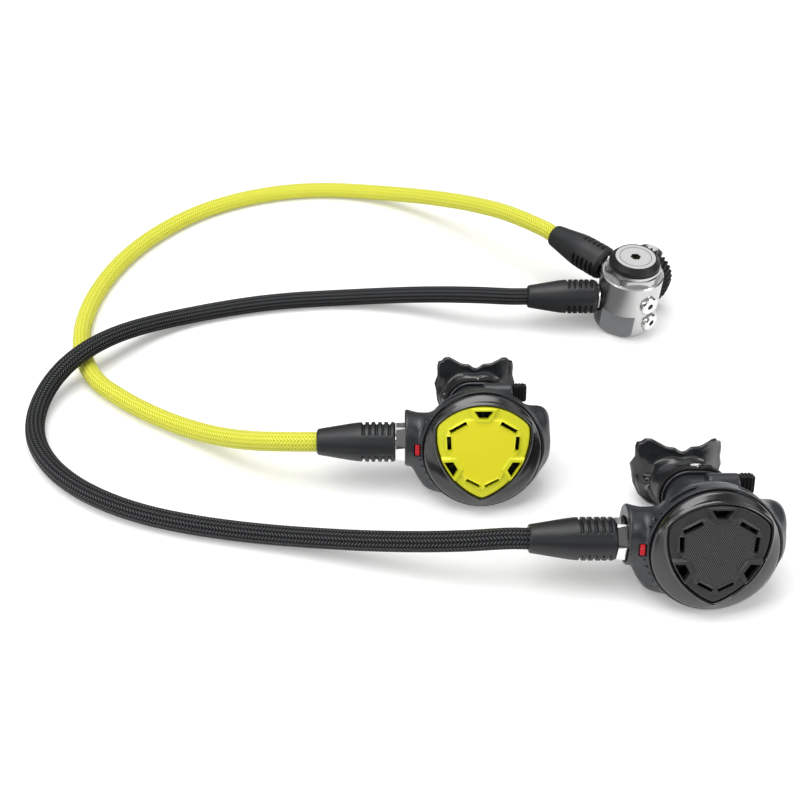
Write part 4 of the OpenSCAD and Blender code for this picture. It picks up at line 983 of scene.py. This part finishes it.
def mouthpiece_solid(stage):
    """The silicone mouthpiece: sleeve, neck, bent shield with a rolled edge, and bite tabs."""
    shield_depth, shield_r, stretch, lean = SHIELDS[stage]
    outline = [tuple(p) for p in mirrored([(u * stretch, w) for u, w in SHIELD_HALF])]

    def solid(x, y, z):
        v = y - TUBE_V
        x = x + lean * np.clip((-53 - z) / 9, 0, 1)
        across = polygon_field(x, v, outline)
        rho = np.hypot(x, z + shield_depth + shield_r)
        out = np.clip(np.abs(x) / 20, 0, 1)
        ripple = out * (0.9 * np.cos(v * 0.24) + 1.1 * np.sin(v * 0.13 + 0.4))
        ripple = ripple + 0.6 * np.sin(x * 0.33) * np.clip(v / 12, 0, 1)
        sheet = np.abs(rho - (shield_r - SHEET_T / 2) + ripple) - SHEET_T / 2
        shield = smooth_max(sheet, across, 1.0)
        bead = np.hypot(sheet + SHEET_T / 2 + 0.5, across + 0.9) - 1.5
        shield = np.maximum(smooth_min(shield, bead, 1.0), -(z + shield_depth + shield_r - 1))
        sleeve = smooth_max(slot_field(x, v, TUBE_HALF, 14.5), np.abs(z + 47.5) - 4.5, 1.0)
        waist = 11.4 + 1.6 * np.clip((-54 - z) / 8, 0, 1) ** 2
        neck = smooth_max(slot_field(x, v, 4.2, waist), np.abs(z + 58) - 7.5, 1.0)
        body = smooth_min(smooth_min(sleeve, neck, 3), shield, 4)
        for side in (-1, 1):
            tab = smooth_min(box_field(x - side * 16, v, z + 70.5, (4, 1.5, 4.5), 1.2),
                             box_field(x - side * 16, v, z + 75, (4, 4, 1.1), 1.0), 2)
            body = smooth_min(body, tab, 1.5)
        bore = np.maximum(slot_field(x, v, TUBE_HALF, 12.65), -(z + TUBE_END))
        bore = np.minimum(bore, slot_field(x, v, 4.6, 7.6))
        return smooth_max(body, -bore, 0.8)

    return solid


def clamp_solid(x, y, z):
    """The thin band round the mouthpiece with its small square lock on top."""
    v, w = y - TUBE_V, z + TUBE_END - CLAMP_BACK
    ring = slot_field(x, v, TUBE_HALF, 15)
    band = smooth_max(np.abs(ring) - 0.55, np.abs(w) - 2, 0.5)
    ridge = smooth_max(np.abs(ring - 0.45) - 0.5, np.abs(np.abs(w) - 1.5) - 0.4, 0.3)
    lock = box_field(x - 6, v - 15.7, w, (2.6, 0.9, 1.9), 0.5)
    return smooth_min(smooth_min(band, ridge, 0.4), lock, 0.5)


def pointer_solid(x, y, z):
    """The small pointer that stands on the clamp's middle."""
    v, w = y - TUBE_V, z + TUBE_END - CLAMP_BACK
    width = np.clip(2.9 - 0.9 * (w + 1.6), 0.4, 2.9)
    return smooth_max(np.maximum(np.abs(x) - width, np.abs(w) - 2.2), np.abs(v - 16.1) - 0.9, 0.6)


def knob_solid(x, y, z):
    """The venturi lever's knob: a rounded block with four ribs."""
    u, v, w = x - 23.4, y - PIVOT[0] - 1.2, z - PIVOT[1]
    block = box_field(u, v, w, (3.9, 5.2, 3.4), 1.5)
    for k in range(4):
        across = np.abs(u - 1.8 * (k - 1.5)) - 0.45
        groove = np.minimum(np.maximum(across, 2.6 - w), np.maximum(across, 4.4 - v))
        block = smooth_max(block, -np.maximum(groove, -4.4 - v), 0.5)
    shaft = rod_field(y - PIVOT[0], w, x, -5, 21.5, 1.45)
    vane = box_field(x - 2, y - PIVOT[0] + 3.5, w, (5.8, 3.3, 0.55), 0.3)
    return np.minimum(smooth_min(block, shaft, 0.5), vane)


def tab_solid(x, y, z):
    """The small red lock tab with a finger groove across it."""
    u, v, w = x - TAB[0], y - TAB[1], z - TAB[2]
    tab = box_field(u, v, w, (1.35, 3.1, 1.6), 0.6)
    return smooth_max(tab, -(np.hypot(v, w - 2.5) - 1.1), 0.5)


def make_second_stages(looks):
    case = carve(case_solid, (-46, -34, -53), (43, 37, -3), 0.65)
    mouthpieces = {stage: carve(mouthpiece_solid(stage), (-31, -5, -80), (29, 41, -41), 0.5)
                   for stage in FACES}
    clamp = carve(clamp_solid, (-22, -4, -51), (22, 33, -42), 0.4)
    pointer = carve(pointer_solid, (-4, 27, -50), (4, 33, -43), 0.25)
    knob = carve(knob_solid, (-8, 15, -40), (31, 33, -29), 0.35)
    tab = carve(tab_solid, (-40, -7, -12), (-32, 5, -5), 0.2)
    for stage in FACES:
        body, matrix = f"{stage}_second_stage", stage_matrix(stage)
        for part, surface, slot, rides, node in (
                ("case_shell", case, "case_slate", body, "case"),
                ("silicone_mouthpiece", mouthpieces[stage], "silicone_black", body, "mouthpiece"),
                ("clamp_band", clamp, "black_matte", body, "clamp"),
                ("clamp_pointer", pointer, "bright_chrome", body, None),
                ("venturi_knob", knob, "black_matte", f"{stage}_venturi", "venturi_lever"),
                ("red_tab", tab, "tab_red", f"{stage}_lock", "lock_tab")):
            piece = carved_piece(f"{stage}_{part}", surface, matrix, looks, slot, rides)
            if node:
                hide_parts(f"{stage}_{node}")


# --- First stage ---

WHEEL_START = 21.5        # reach of the hand wheel's near face from the first stage's axis
WHEEL_W = 12
WHEEL_R = 21.5
WHEEL_TEETH = 36
PANEL_AZ = -118           # the milled panel: direction, distance from the axis and height
PANEL_FLAT = 17
PANEL_H = 21
BODY_R = 20.5             # the body and its rounded bottom edge
EDGE_R = 7


def wheel_solid(x, y, z):
    """The hand wheel: coarse rounded teeth, softened edges and a ring groove on its outer face."""
    rho = np.hypot(x, y)
    tooth = np.clip(1.3 * np.cos(np.arctan2(y, x) * WHEEL_TEETH), -0.8, 0.8) * 1.1
    rim = smooth_max(rho - (WHEEL_R - 0.95 + tooth), np.abs(z - WHEEL_W / 2) - WHEEL_W / 2, 2.0)
    groove = np.maximum(np.abs(rho - 15.7) - 1.6, WHEEL_W - 3 - z)
    return smooth_max(smooth_max(rim, 11.05 - rho, 0.8), -groove, 0.6)


def panel_mesh():
    """A thin plate on the milled panel; its sides follow the body's round wall and bottom edge."""
    half = []
    for k in range(25):
        height = 1.3 + (PANEL_H - 1.6) * k / 24
        drop = max(0.0, EDGE_R - height)
        wall_r = BODY_R - EDGE_R + sqrt(EDGE_R ** 2 - drop ** 2)
        half.append((sqrt(max(0.1, wall_r ** 2 - PANEL_FLAT ** 2)) - 0.35, height))
    outline = half + [(-u, height) for u, height in reversed(half)]
    n = len(outline)
    points = [(PANEL_FLAT + lift, u, height) for lift in (-0.1, 0.12) for u, height in outline]
    faces = [tuple(range(n - 1, -1, -1)), tuple(range(n, 2 * n))]
    faces += [(k, (k + 1) % n, n + (k + 1) % n, n + k) for k in range(n)]
    return points, faces


def make_first_stage(looks):
    wheel = carve(wheel_solid, (-22.5, -22.5, -1), (22.5, 22.5, 13), 0.4)
    piece = carved_piece("rubber_hand_wheel", wheel, radial_matrix(DIN_AZ, DIN_Z, WHEEL_START),
                         looks, "black_rubber", "din_wheel")
    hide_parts("din_hand_wheel")
    points, faces = panel_mesh()
    add_mesh("panel_plate", points, faces, Matrix.Rotation(radians(PANEL_AZ), 4, "Z"), looks,
             "satin_chrome", "first_stage", 40, "panel_grey")


# --- The part's own solids ---

def dress_nodes(looks):
    slots = {s["node"]: s["material_slot"] for s in frame["record"]["subparts"]}
    for name, piece in frame["nodes"].items():
        piece.data.materials.clear()
        piece.data.materials.append(looks[slots[name]])


def main():
    make_stage()
    looks = make_materials()
    make_hoses(looks)
    make_faces(looks)
    make_second_stages(looks)
    make_first_stage(looks)
    dress_nodes(looks)


main()
